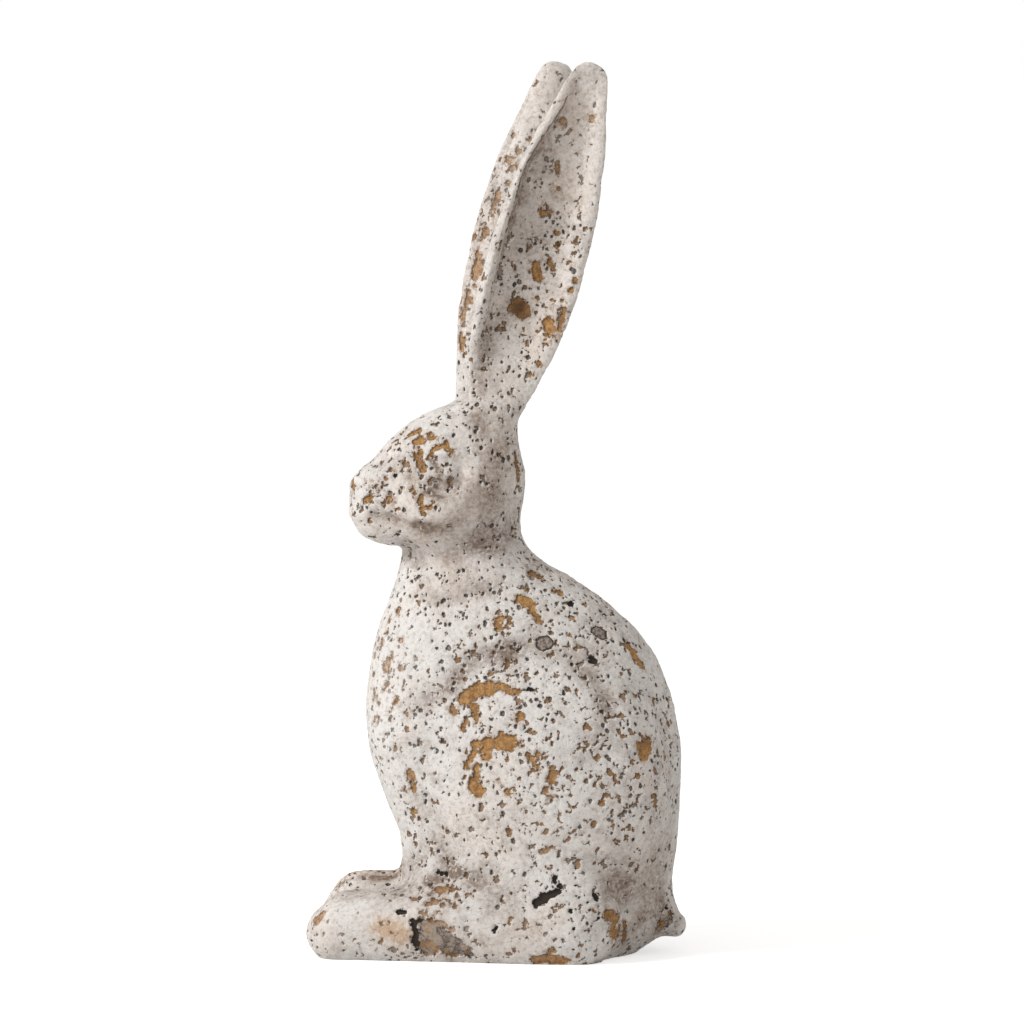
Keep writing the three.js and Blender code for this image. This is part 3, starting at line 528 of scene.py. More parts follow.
CHARCOAL = (
    ([(45.5, -42.5, 21.5), (46.6, -40.5, 16), (46.2, -41, 11), (45, -40, 3)], 1.7),
    ([(58, 21, 32.5), (58, 24.5, 35.5)], 2.7), ([(58, 27, 36.5), (57.9, 31, 38)], 1.8),
    ([(54.6, 49.3, 36.5), (54.6, 50.3, 34)], 2), ([(47, 15, 140), (47, 19.5, 139.7)], 1.3),
    ([(43.4, -50, 26.4), (43.4, -46.5, 26)], 1.6),
    ([(46.4, -39.1, 22.2), (46.3, -41.1, 20.1), (46, -43.1, 19.6)], 1.2),
    ([(41.1, -25.4, 45), (38.8, -30, 45.2)], 1), ([(55.5, 0.6, 19.9), (55.1, -0.9, 18.3)], 1.1),
    *dots(
        (57.1, 30, 44.5, 1.9), (57.5, 32.5, 41, 1.3), (55, 48, 31.5, 1.1),
        (35.4, 49.4, 154.3, 2.3), (23.9, 38.3, 181.9, 2), (26.8, -51.3, 247, 1.5),
        (31, -95.3, 9, 1.3), (49.9, -18.7, 32.9, 0.85), (52.1, -13.6, 29.1, 0.85),
        (55.8, 40.6, 49.5, 0.9), (56.5, 40.1, 45, 0.8), (57.1, 40.6, 41.5, 0.9),
        (59.4, 37.6, 28.6, 1), (59.1, 43.1, 28, 0.8), (56, 52.3, 24.5, 0.9),
        (59.8, 40.1, 19.9, 0.9), (59, 33.5, 32.1, 0.8), (57.6, 46.7, 32.4, 0.9),
        (14.6, 83.6, 12.1, 1.1), (12.4, 87.7, 24.2, 1),
    ),
)
PEBBLES = (
    ([(38.4, 24, 162.6), (38.4, 26, 163)], 3.7), ([(26.6, 52, 167.6), (26.6, 54, 167)], 3.5),
    ([(14.7, 3.1, 290.5)], 2.6),
)

# Soft lines of wear as path, width and value: how pitted, chipped, soiled and yellowed the skin is.
# The soiling is dirt, and painted shade along creases, under the cheeks and jaw, behind the heels
# and between the feet
PITTED = (
    ([(30, 20, 170)], 60, 0.2), ([(20, 45, 185)], 30, 0.25), ([(35, 75, 110)], 45, 0.2),
    ([(26, -40, 195), (30, -20, 190)], 18, 0.2),
    ([(18.7, 4.6, 211), (21.2, 8.2, 203), (16, 20, 198)], 8, 0.6), ([(20, -60, 140)], 40, 0.05),
    ([(25, -52, 245), (12, -72, 240)], 14, 0.5),
    ([(-28, 17.5, 426), (-23, 11.3, 411), (-19.5, 4.6, 397)], 9, 0.6),
    ([(4.5, 27.6, 399), (2.4, 28.6, 379)], 7, 0.4), ([(9.5, 48, 392), (8.7, 45, 366)], 8, -0.5),
    ([(20, -5, 283), (24, 0, 268)], 14, 0.25),
    ([(28, -52, 222), (33, -33, 226), (30, -12, 232)], 13, -0.55), ([(27, -18, 212)], 14, -0.3),
    ([(50, -12, 60)], 20, -0.3), ([(45, -60, 18), (55, -5, 20), (57, 20, 14)], 19, -0.55),
    ([(54, 46, 56), (42, 66, 40), (28, 76, 20), (30, 78, 55)], 16, -0.6),
    ([(-18, -75, 32), (-18, -55, 33)], 14, 0.35), ([(0, 30, 340), (0, 20, 300)], 34, 0.3),
    ([(8, 45, 440), (8, 38, 415)], 26, -0.75), ([(-20, 5, 400), (-14, -8, 360)], 14, 0.35),
)
CHIPPED = (
    ([(46, 25, 120)], 45, 0.25), ([(45, 65, 100)], 40, 0.4), ([(57, 30, 66)], 24, 0.3),
    ([(30, 20, 175)], 30, 0.25), ([(20, -58, 140)], 34, 0.05), ([(25, -25, 195)], 20, -0.45),
    ([(5, 28, 345), (5, 20, 325)], 26, 0.3), ([(-11, -14, 325), (-15, -5, 370)], 26, 0.3),
    ([(28, -45, 248)], 18, 0.15), ([(30, -30, 226), (24, 0, 240)], 18, -0.4),
    ([(45, -45, 34), (46, -25, 36)], 12, 0.35), ([(50, -12, 60)], 16, -0.1),
)
FAINT = (
    ([(20, -60, 155), (18, -60, 115)], 26, 0.8), ([(40, -80, 20), (48, -20, 18)], 20, 0.7),
    ([(56, 20, 15)], 16, 0.5), ([(-11, -14, 325), (-22, 12, 410)], 14, 0.6),
    ([(10, 50, 440), (10, 40, 410)], 20, 0.7), ([(57, 30, 66)], 24, 0.3),
)
# Dirt, and painted shade: along the creases, under the cheeks and jaw, round the ear roots, behind
# the heels and between the feet
SOILED_AND_SHADED = (
    ([(24.2, -59, 226.4), (29.3, -48.7, 224.7), (32.7, -41, 221.5), (31.4, -28.4, 219.8),
      (30.8, -19, 224)], 4.5, 0.35),
    ([(33.5, -40, 222.3), (32, -33.5, 221)], 3, 0.7),
    ([(33.4, -34.4, 239.5), (34.5, -28.3, 236.3)], 2.6, 1), ([(30.5, -44, 247.5)], 2.6, 0.5),
    ([(29.5, -31.9, 257.5), (30.5, -31, 253.5), (31.3, -29, 248.5), (32.5, -28.9, 242)], 1.6, 0.7),
    ([(22, 2, 262), (24, 0, 247), (24, -2, 232)], 8, 0.4), ([(24, -10.5, 212)], 6, 0.4),
    ([(31, -30, 228), (28, -14, 232)], 16, 0.12), ([(20, 8, 222), (24, -5, 215)], 14, 0.35),
    ([(9, -6, 318), (11.9, -8.1, 300), (15.6, -9.1, 285), (21.6, -7.1, 270)], 5, 0.5),
    ([(27.2, -30, 183.2), (29.9, -15.7, 187), (30, -0.4, 189.6)], 4, 0.4),
    ([(35, -34.5, 132.8), (37.4, -26.4, 138.7), (38.2, -16.7, 148), (38.8, -8, 156.2),
      (40, 8, 159)], 6, 0.72),
    ([(41, 8, 158.5), (39, 20, 161.5), (37.5, 35, 154.5), (38, 49, 145), (44, 56, 134)], 8, 0.32),
    ([(52, 50, 116), (50, 56, 124)], 8, 0.35),
    ([(37, -36, 81), (41, -30.5, 64), (43, -25, 49)], 5, 0.25),
    ([(38, -36, 41), (40.4, -28.4, 43.4), (45.5, -19.2, 46.6)], 2.3, 1.25),
    ([(49, -13, 43), (54.8, 2, 37.6)], 6, 0.35),
    ([(38.7, -28.4, 59.6), (40.4, -25.4, 51)], 4, 0.4),
    ([(46, 62, 36), (33, 73.5, 36), (21, 81, 27), (10, 89, 20)], 13, 0.42),
    ([(34, 66, 12), (24, 76, 11), (14, 82, 9)], 9, 0.5), ([(24, 84, 50), (22, 81, 34)], 14, 0.2),
    # Painted shadow: a thin dark line where the far foot shows above the near one
    ([(-14, -88, 31), (-15, -70, 35.5), (-15, -50, 36.5)], 1.8, 0.9),
    ([(-24, -72, 38), (-24, -50, 40)], 10, 0.1),
    ([(18.7, 6, 212), (21, 9, 203), (16, 20, 198)], 9, 0.35),
    ([(18, 2, 270), (21, 4.6, 244.5), (20, 2, 224)], 12, 0.08),
    ([(22, -25, 200), (28, -15, 190)], 16, 0.14), ([(45, -45, 20), (50, -10, 30)], 22, 0.12),
    ([(3.1, 12, 331)], 4.5, 1.2), ([(20, 78, 60), (30, 75, 95)], 34, 0.22),
    ([(15, 60, 185)], 40, 0.15), ([(2, 15, 370)], 45, 0.22),
    ([(48, -32, 12), (51, -17, 6)], 9, 0.3),
)
YELLOWED = (
    ([(44, -60, 18), (42, -50, 12)], 7, 0.8), ([(36, -84, 18)], 6, 0.3),
    ([(57, 28, 26), (56, 22, 18)], 8, 0.7), ([(50, -15, 72), (55, 0, 62)], 14, 0.5),
    ([(25, -28, 195)], 12, 0.25), ([(55, 0, 100)], 16, 0.3), ([(12, -74, 232)], 6, 0.6),
    ([(28, -28, 228), (24, -6, 240), (20, 0, 262)], 18, 0.7),
    ([(-20, -80, 36), (-20, -50, 40)], 12, 0.8), ([(46, -46, 16), (44, -56, 19)], 6, 0.9),
    ([(30, 72, 50), (40, 60, 66)], 22, 0.4), ([(30, -38, 214)], 8, 0.4),
    ([(8, 45, 435), (5, 30, 380), (8, 20, 325)], 24, 0.5),
    ([(-15, -5, 370), (-11, -15, 325)], 16, 0.3),
)


# Nodes


class Tree:
    """Adds nodes to a tree; a value is a number, a colour or another node's socket."""

    def __init__(self, tree):
        self.tree = tree

    def add(self, kind, values=(), **settings):
        node = self.tree.nodes.new(kind)
        for name, value in settings.items():
            setattr(node, name, value)
        for name, value in dict(values).items():
            self.put(node.inputs[name], value)
        return node

    def put(self, socket, value):
        if isinstance(value, bpy.types.NodeSocket):
            self.tree.links.new(value, socket)
        else:
            socket.default_value = value

    def math(self, operation, *values, clamp=False):
        values = dict(enumerate(values))
        return self.add("ShaderNodeMath", values, operation=operation, use_clamp=clamp).outputs[0]

    def times(self, *values):
        return self.math("MULTIPLY", *values)

    def plus(self, *values, clamp=False):
        return self.math("ADD", *values, clamp=clamp)

    def minus(self, *values):
        return self.math("SUBTRACT", *values)

    def line(self, *values, clamp=False):
        """A value times a slope, plus a base."""
        return self.math("MULTIPLY_ADD", *values, clamp=clamp)

    def vector(self, operation, *values):
        node = self.add("ShaderNodeVectorMath", dict(enumerate(values)), operation=operation)
        return node.outputs[0]

    def scaled(self, vector, by):
        node = self.add("ShaderNodeVectorMath", {0: vector, "Scale": by}, operation="SCALE")
        return node.outputs[0]

    def step(self, value, low, high):
        values = {"Value": value, "From Min": low, "From Max": high}
        node = self.add("ShaderNodeMapRange", values, interpolation_type="SMOOTHSTEP")
        return node.outputs[0]

    def noise(self, place, size, detail=2.0, rough=0.5):
        """Noise whose grain is about the given size; its factor and its colour."""
        values = {"Vector": place, "Scale": 1 / size, "Detail": detail, "Roughness": rough}
        node = self.add("ShaderNodeTexNoise", values)
        return node.outputs[0], node.outputs[1]

    def mix(self, share, a, b, blend="MIX"):
        node = self.add("ShaderNodeMix", data_type="RGBA", blend_type=blend)
        self.put(node.inputs[0], share)
        self.put(node.inputs[6], a)
        self.put(node.inputs[7], b)
        return node.outputs[2]


# What the pattern of wear reads, and the mesh attribute that holds it
ATTRIBUTES = {"Place": ("rest", "FLOAT_VECTOR")}
for kind in ("Pitted", "Chipped", "Faint", "Ochre", "Charcoal", "Broken", "Pebble"):
    ATTRIBUTES[kind] = (kind.lower(), "FLOAT")
WEAR_OUTPUTS = (
    "Pit", "Pit tone", "Flake", "Spot", "Black", "Ruin", "Facet", "Stone", "Ring", "Cover", "Depth",
)


def wear_group(kind):
    """The pattern of pits and chips, the same for the mesh and for the colours."""
    group = bpy.data.node_groups.new("Worn wash " + kind[:4].lower(), kind)
    for name in ATTRIBUTES:
        socket = "NodeSocketVector" if name == "Place" else "NodeSocketFloat"
        group.interface.new_socket(name, in_out="INPUT", socket_type=socket)
    for name in WEAR_OUTPUTS:
        group.interface.new_socket(name, in_out="OUTPUT", socket_type="NodeSocketFloat")
    n = Tree(group)
    given = n.add("NodeGroupInput").outputs
    place = given["Place"]
    bend = n.vector("SUBTRACT", n.noise(place, 2.8, 3.0, 0.6)[1], (0.5, 0.5, 0.5))

    def cells(size, bending):
        """Random cells: the distance from each one's middle, and three chances."""
        bent = n.vector("ADD", place, n.scaled(bend, bending))
        flat = n.vector("MULTIPLY", bent, (1.0, 1.0, 0.82))
        made = n.add("ShaderNodeTexVoronoi", {"Vector": flat, "Scale": 1 / size}).outputs
        return made["Distance"], n.add("ShaderNodeSeparateXYZ", {0: made["Color"]}).outputs

    # Pits, left out where the skin is sound
    away, chance = cells(2.8, 3.0)
    radius = n.line(n.math("POWER", chance[0], 1.7), 0.3, 0.15)
    pit_in = n.minus(radius, away)
    crowd = n.noise(place, 17.0, 2.0, 0.5)[0]
    density = n.plus(given["Pitted"], n.line(crowd, 1.5, -0.75))
    present = n.math("LESS_THAN", chance[1], density)
    clear = n.line(given["Faint"], -0.6, 1.0, clamp=True)
    pit = n.times(n.step(pit_in, -0.02, 0.07), n.times(present, clear))
    pit_tone = chance[2]

    # Flakes: angular islands in groups, and single wide craters
    far = n.vector("ADD", place, n.scaled(bend, 4.0))
    grain = n.noise(far, 4.4, 2.0, 0.5)[0]
    group_of = n.noise(place, 26.0, 1.0, 0.5)[0]
    level = n.line(group_of, 0.2, grain)
    flake_in = n.minus(level, n.line(given["Chipped"], -0.11, 0.8))
    away, chance = cells(8.0, 6.0)
    wide_in = n.minus(n.line(chance[0], 0.16, 0.09), away)
    wide_here = n.math("LESS_THAN", chance[1], n.times(given["Chipped"], 0.75))
    wide = n.times(n.step(wide_in, -0.01, 0.025), wide_here)
    flake = n.math("MAXIMUM", n.step(flake_in, 0.0, 0.014), wide)
    flake = n.times(flake, n.line(clear, 0.5, 0.5))

    # Placed chips: distances that the mesh holds, with broken outlines
    ragged = n.minus(n.noise(place, 4.6, 3.0, 0.6)[0], 0.5)
    chewed = n.minus(n.noise(place, 1.9, 2.0, 0.6)[0], 0.5)
    frayed = n.line(chewed, 3.5, n.times(ragged, 7.0))
    spot_in = n.line(n.math("ABSOLUTE", chewed), -4.0, given["Ochre"])
    spot_in = n.plus(n.plus(spot_in, frayed), 0.5)
    spot = n.step(spot_in, -0.15, 0.35)
    black_in = n.line(frayed, 0.6, given["Charcoal"])
    black = n.step(black_in, -0.1, 0.3)
    ruin_in = n.line(frayed, 0.9, given["Broken"])
    ruin = n.step(ruin_in, -0.15, 0.35)
    facet = n.step(n.noise(far, 7.0, 1.0, 0.4)[0], 0.46, 0.54)
    stone_in = n.line(frayed, 0.42, given["Pebble"])
    stone = n.step(stone_in, -0.1, 0.2)
    ring = n.times(stone, n.minus(1.0, n.step(stone_in, 0.4, 1.0)))

    cover, depth = None, None
    for mask, low, high, wall, deep in (
        (pit, pit_in, -0.1, 0.2, n.times(radius, 3.0)),
        (flake, flake_in, -0.008, 0.03, 0.65),
        (wide, wide_in, -0.05, 0.09, 0.9),
        (spot, spot_in, -0.5, 0.7, 0.85),
        (black, black_in, -0.4, 1.0, 1.7),
        (ruin, ruin_in, -0.5, 0.8, n.line(facet, 0.9, 1.0)),
        (ring, None, 0, 0, 0.9),
    ):
        bed = mask if low is None else n.step(low, high, wall)
        bed = n.times(bed, deep)
        if mask is pit:
            bed = n.times(bed, n.times(present, clear))
        if mask is wide:
            bed = n.times(bed, wide_here)
        cover = mask if cover is None else n.math("MAXIMUM", cover, mask)
        depth = bed if depth is None else n.math("MAXIMUM", depth, bed)
    results = (pit, pit_tone, flake, spot, black, ruin, facet, stone, ring, cover, depth)
    n.add("NodeGroupOutput", dict(zip(WEAR_OUTPUTS, results)))
    return group


# The pattern is also read this far off, in mm, for the painted shadow on the upper front edges of
# chips and the painted highlight past their lower back edges
SHADE_OFFSET = (0.0, -0.75, 0.65)


def relief_tree():
    """Moves a skin in along its normal where it is pitted or chipped, and makes it lumpy."""
    tree = bpy.data.node_groups.new("Worn relief", "GeometryNodeTree")
    tree.interface.new_socket("Geometry", in_out="INPUT", socket_type="NodeSocketGeometry")
    for name in ("Depth", "Lumps", "Grain"):
        tree.interface.new_socket(name, in_out="INPUT", socket_type="NodeSocketFloat")
    tree.interface.new_socket("Finish", in_out="INPUT", socket_type="NodeSocketMaterial")
    tree.interface.new_socket("Geometry", in_out="OUTPUT", socket_type="NodeSocketGeometry")
    n = Tree(tree)
    given = n.add("NodeGroupInput").outputs
    wear = n.add("GeometryNodeGroup", node_tree=wear_group("GeometryNodeTree"))
    for name, (attribute, kind) in ATTRIBUTES.items():
        reader = n.add("GeometryNodeInputNamedAttribute", {"Name": attribute}, data_type=kind)
        n.put(wear.inputs[name], reader.outputs[0])
        if name == "Place":
            place = reader.outputs[0]
    lump = n.minus(n.noise(place, 15.0, 2.0, 0.5)[0], 0.6)
    grain = n.minus(n.noise(place, 3.0, 2.0, 0.6)[0], 0.6)
    lump, grain = n.times(lump, given["Lumps"]), n.times(grain, given["Grain"])
    raised = n.plus(lump, grain)
    cut = n.times(wear.outputs["Depth"], given["Depth"])
    away = n.scaled(n.add("GeometryNodeInputNormal").outputs[0], n.minus(raised, cut))
    put = n.add("GeometryNodeSetPosition", {"Geometry": given["Geometry"], "Offset": away})
    real = n.add("GeometryNodeRealizeInstances", {0: put.outputs[0]})
    finished = {"Geometry": real.outputs[0], "Material": given["Finish"]}
    made = n.add("GeometryNodeSetMaterial", finished)
    n.add("NodeGroupOutput", {0: made.outputs[0]})
    return tree


# Materials


def srgb(*levels):
    """A colour from 0-255 screen levels, as the linear values that nodes take."""
    linear = [(c / 255 / 12.92) if c <= 10 else ((c / 255 + 0.055) / 1.055) ** 2.4 for c in levels]
    return (*linear, 1.0)


def new_material(name):
    material = bpy.data.materials.new(name)
    material.use_nodes = True
    material.node_tree.nodes.clear()
    n = Tree(material.node_tree)
    shader = n.add("ShaderNodeBsdfPrincipled")
    n.add("ShaderNodeOutputMaterial", {"Surface": shader.outputs[0]})
    return material, n, shader


GRAIN_OUTPUTS = ("Speckle", "Stain", "Streak", "Height")


def grain_group():
    """Fine speckle and soft staining of cement; a factor for each and a height."""
    group = bpy.data.node_groups.new("Cement grain", "ShaderNodeTree")
    for name, kind in (("Place", "Vector"), ("Size", "Float")):
        group.interface.new_socket(name, in_out="INPUT", socket_type="NodeSocket" + kind)
    for name in GRAIN_OUTPUTS:
        group.interface.new_socket(name, in_out="OUTPUT", socket_type="NodeSocketFloat")
    n = Tree(group)
    given = n.add("NodeGroupInput").outputs
    place = n.scaled(given["Place"], n.math("DIVIDE", 1.0, given["Size"]))
    speckle = n.noise(place, 0.9, 3.0, 0.7)[0]
    stain = n.noise(place, 13.0, 4.0, 0.6)[0]
    strokes = {"Vector": place, "Rotation": (0.8, 0.0, 0.3), "Scale": (1.0, 0.7, 1.0)}
    brushed = n.noise(n.add("ShaderNodeMapping", strokes).outputs[0], 1.7, 3.0, 0.65)[0]
    height = n.plus(n.times(speckle, 0.5), n.times(brushed, 0.5))
    streak = n.step(brushed, 0.35, 0.65)
    n.add("NodeGroupOutput", dict(zip(GRAIN_OUTPUTS, (speckle, stain, streak, height))))
    return group


def worn_cement(finish, grain):
    material, n, shader = new_material("worn cement wash")
    pattern = wear_group("ShaderNodeTree")
    wear = n.add("ShaderNodeGroup", node_tree=pattern)
    beyond = n.add("ShaderNodeGroup", node_tree=pattern)

    def read(attribute, output="Fac"):
        return n.add("ShaderNodeAttribute", attribute_name=attribute).outputs[output]

    place = read("rest", "Vector")
    chipped = read("chipped")
    for name, (attribute, _) in ATTRIBUTES.items():
        if name == "Place":
            here, there = place, n.vector("ADD", place, SHADE_OFFSET)
        elif name in ("Pitted", "Chipped", "Faint"):
            here = there = read(attribute)
        else:
            here, there = read(attribute), read(attribute + "_lee")
        n.put(wear.inputs[name], here)
        n.put(beyond.inputs[name], there)
    # Painted shadow along the upper front edge of each chip, pit and mark, and a painted highlight
    # just past its lower back edge
    cover, cover_beyond = wear.outputs["Cover"], beyond.outputs["Cover"]
    edge = n.times(cover, n.minus(1.0, cover_beyond))
    lip = n.times(cover_beyond, n.minus(1.0, cover))
    surface = n.add("ShaderNodeGroup", {"Place": place, "Size": 1.0}, node_tree=grain)
    speckle, stain = surface.outputs["Speckle"], surface.outputs["Stain"]
    mottle = n.noise(place, 2.2, 3.0, 0.65)[0]

    warm = n.times(n.step(n.noise(place, 34.0, 3.0, 0.55)[0], 0.48, 0.7), 0.3)
    warm = n.plus(warm, n.times(read("yellowed"), n.step(mottle, 0.3, 0.6)), clamp=True)
    wash = n.mix(warm, finish["wash"], finish["warm"])
    peach = n.times(n.step(n.plus(read("yellowed"), mottle), 0.9, 2.2), 0.45)
    wash = n.mix(peach, wash, finish["ochre"])
    # Soiling: random stains and smudges, with the dirt and the painted shade of creases, recesses
    # and the ears' hollows from the mesh
    soil_and_shade = n.times(n.step(stain, 0.34, 0.68), 0.36)
    smudge = n.step(n.noise(place, 9.0, 4.0, 0.65)[0], 0.5, 0.74)
    soil_and_shade = n.line(smudge, 0.25, soil_and_shade)
    soil_and_shade = n.line(read("faint"), -0.15, n.plus(soil_and_shade, -0.2))
    soil_and_shade = n.line(read("dirty"), 0.95, soil_and_shade, clamp=True)
    worked = n.times(soil_and_shade, n.line(surface.outputs["Streak"], 0.6, 0.66))
    colour = n.mix(n.math("MINIMUM", worked, 0.9), wash, finish["dirt"])
    # Darker still where the soiling and painted shade are heaviest
    colour = n.mix(n.times(n.step(worked, 0.75, 1.35), 0.6), colour, finish["soot"])
    fleck = n.times(n.step(mottle, 0.5, 0.7), n.line(soil_and_shade, 0.4, 0.3))
    colour = n.mix(fleck, colour, finish["dirt"])
    # Painted highlight: cleaner wash just past the lower back edge of each chip
    colour = n.mix(n.times(lip, 0.6), colour, finish["wash"])
    shade = n.line(speckle, 0.5, n.line(mottle, -0.2, 0.85))
    shades = n.add("ShaderNodeCombineXYZ", dict.fromkeys(range(3), shade)).outputs[0]
    colour = n.mix(1.0, colour, shades, "MULTIPLY")

    worn_thin = n.line(n.minus(mottle, 0.5), 9.0, read("ochre"))
    worn_thin = n.times(n.step(worn_thin, -2.4, 1.4), 0.5)
    # Painted shadow: a dark line in the cleft just behind each ear's front rim
    seam = n.line(n.minus(mottle, 0.5), 3.0, read("seam"))
    seam = n.minus(1.0, n.step(seam, 0.3, 0.9))
    sandy = n.plus(n.times(mottle, 0.6), n.times(speckle, 0.4))
    ochre = n.mix(n.step(sandy, 0.38, 0.62), finish["ochre"], finish["umber"])
    ochre = n.mix(n.times(soil_and_shade, 0.85), ochre, finish["earth"])
    tinge = n.noise(place, 9.0, 1.0, 0.5)[0]
    flaked = n.mix(n.step(n.line(chipped, 0.25, tinge), 0.54, 0.7), finish["bare"], ochre)
    seen = wear.outputs
    tone = seen["Pit tone"]
    deep = n.mix(n.step(tone, 0.55, 1.0), finish["charcoal"], finish["soot"])
    pitted = n.mix(n.math("LESS_THAN", tone, n.times(chipped, 0.7)), deep, finish["umber"])
    grey = n.mix(n.step(sandy, 0.4, 0.6), finish["stone"], finish["rubble"])
    broken = n.mix(n.step(mottle, 0.42, 0.7), finish["rubble"], finish["bare"])
    ruined = n.mix(seen["Facet"], n.mix(n.step(tinge, 0.55, 0.6), broken, ochre), grey)
    for mask, layer in (
        (worn_thin, ochre),
        (n.times(seen["Flake"], 0.94), flaked),
        (n.times(seen["Pit"], 0.82), pitted),
        (seen["Ruin"], ruined),
        (n.times(seen["Spot"], n.line(read("faint"), -0.6, 1.0)), ochre),
        (seen["Stone"], grey),
        (n.times(seen["Ring"], 0.6), finish["charcoal"]),
        # Painted shadow along the upper front edge of each chip
        (n.times(edge, n.line(read("faint"), -0.4, 0.58)), finish["charcoal"]),
        (seen["Black"], finish["charcoal"]),
        # Painted shadow in the cleft behind the ears' front rims
        (n.times(seam, 0.75), finish["earth"]),
    ):
        colour = n.mix(mask, colour, layer)
    n.put(shader.inputs["Base Color"], colour)
    n.put(shader.inputs["Roughness"], n.line(speckle, 0.12, 0.84))
    shader.inputs["Specular IOR Level"].default_value = 0.25
    height = n.line(seen["Depth"], -0.8, n.times(surface.outputs["Height"], 0.6))
    bump = n.add("ShaderNodeBump", {"Height": height, "Distance": MM, "Strength": 1.0})
    n.put(shader.inputs["Normal"], bump.outputs[0])
    return material


def plain_cement(name, colour, dark, grain):
    """Unpainted cement, as inside the casting and on its base, or mortar."""
    material, n, shader = new_material(name)
    place = n.scaled(n.add("ShaderNodeTexCoord").outputs["Object"], 1 / MM)
    surface = n.add("ShaderNodeGroup", {"Place": place, "Size": 1.6}, node_tree=grain)
    holes = n.add("ShaderNodeTexVoronoi", {"Vector": place, "Scale": 1 / 4.5})
    hole = n.minus(1.0, n.step(holes.outputs["Distance"], 0.14, 0.22))
    shade = n.mix(n.step(surface.outputs["Stain"], 0.35, 0.65), colour, dark)
    speck = n.mix(n.times(surface.outputs["Speckle"], 0.35), shade, dark)
    n.put(shader.inputs["Base Color"], n.mix(n.times(hole, 0.7), speck, srgb(70, 64, 58)))
    n.put(shader.inputs["Roughness"], n.line(surface.outputs["Speckle"], 0.1, 0.87))
    height = n.minus(surface.outputs["Height"], n.times(hole, 1.2))
    bump = n.add("ShaderNodeBump", {"Height": height, "Distance": MM, "Strength": 0.7})
    n.put(shader.inputs["Normal"], bump.outputs[0])
    return material


def rod_steel():
    material, n, shader = new_material("rod steel")
    place = n.scaled(n.add("ShaderNodeTexCoord").outputs["Object"], 1 / MM)
    rust = n.step(n.noise(place, 4.0, 4.0, 0.65)[0], 0.45, 0.6)
    drawn = n.noise(n.vector("MULTIPLY", place, (1.0, 1.0, 0.08)), 0.6, 2.0, 0.6)[0]
    n.put(shader.inputs["Base Color"], n.mix(rust, srgb(138, 134, 130), srgb(112, 74, 50)))
    n.put(shader.inputs["Metallic"], n.line(rust, -0.8, 0.95))
    n.put(shader.inputs["Roughness"], n.line(rust, 0.4, 0.42))
    height = n.plus(rust, drawn)
    bump = n.add("ShaderNodeBump", {"Height": height, "Distance": 0.0002, "Strength": 0.5})
    n.put(shader.inputs["Normal"], bump.outputs[0])
    return material


# Meshes


def mesh_arrays(mesh, unit=1.0):
    """The places of a mesh's points in a unit of so many metres, and their normals."""
    points = np.empty(len(mesh.vertices) * 3)
    mesh.vertices.foreach_get("co", points)
    normals = np.empty(len(mesh.vertices) * 3)
    mesh.vertex_normals.foreach_get("vector", normals)
    return points.reshape(-1, 3) / unit, normals.reshape(-1, 3)


def set_points(mesh, points):
    mesh.vertices.foreach_set("co", np.ascontiguousarray(points, dtype=np.float32).ravel())
    mesh.update()


def neighbours(mesh):
    edges = np.empty(len(mesh.edges) * 2, np.int64)
    mesh.edges.foreach_get("vertices", edges)
    return edges.reshape(-1, 2)


def smoothed(values, edges, share, turns):
    """Values drawn towards the mean of their neighbours; share is per point."""
    count = np.bincount(edges.ravel(), minlength=len(values)).astype(float)
    share = np.asarray(share, float).reshape(-1, 1) if np.ndim(share) else share
    for _ in range(turns):
        total = np.zeros_like(values)
        for column in range(values.shape[1]):
            total[:, column] = np.bincount(
                edges[:, 0], values[edges[:, 1], column], len(values)
            ) + np.bincount(edges[:, 1], values[edges[:, 0], column], len(values))
        values = values + share * (total / np.maximum(count, 1)[:, None] - values)
    return values


def linked(name, mesh):
    made = bpy.data.objects.new(name, mesh)
    bpy.context.scene.collection.objects.link(made)
    return made


def applied(made):
    """The object's mesh with its modifiers worked in, which then go."""
    graph = bpy.context.evaluated_depsgraph_get()
    mesh = bpy.data.meshes.new_from_object(
        made.evaluated_get(graph), preserve_all_data_layers=True, depsgraph=graph
    )
    made.modifiers.clear()
    old = made.data
    made.data = mesh
    bpy.data.meshes.remove(old)
    return mesh


def island(seed):
    """The vertices joined to a seed vertex."""
    found, waiting = {seed}, [seed]
    while waiting:
        for edge in waiting.pop().link_edges:
            for vertex in edge.verts:
                if vertex not in found:
                    found.add(vertex)
                    waiting.append(vertex)
    return found


def ear_seats():
    """The point and normal, in metres, of the flat that each ear stands on."""
    places = EAR_PLACES.items()
    return {side: (place.translation * MM, place.col[2].to_3d()) for side, place in places}


def casting_shells():
    """The body casting's outer skin and its hollow, open where the flat faces were."""
    bm = bmesh.new()
    bm.from_mesh(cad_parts["body_casting"].data)
    bmesh.ops.remove_doubles(bm, verts=bm.verts, dist=1e-6)
    flat = []
    for point, normal in (GROUND, *ear_seats().values()):
        flat += [
            f
            for f in bm.faces
            if all(abs((v.co - point).dot(normal)) < 2e-5 for v in f.verts)
        ]
    bmesh.ops.delete(bm, geom=list(set(flat)), context="FACES")
    outer = island(min(bm.verts, key=lambda v: v.co.y))
    inner = bm.copy()
    bm.verts.index_update()
    wanted = {v.index for v in outer}
    inner.verts.ensure_lookup_table()
    bmesh.ops.delete(inner, geom=[v for v in inner.verts if v.index in wanted], context="VERTS")
    bmesh.ops.delete(bm, geom=[v for v in bm.verts if v not in outer], context="VERTS")
    return bm, inner


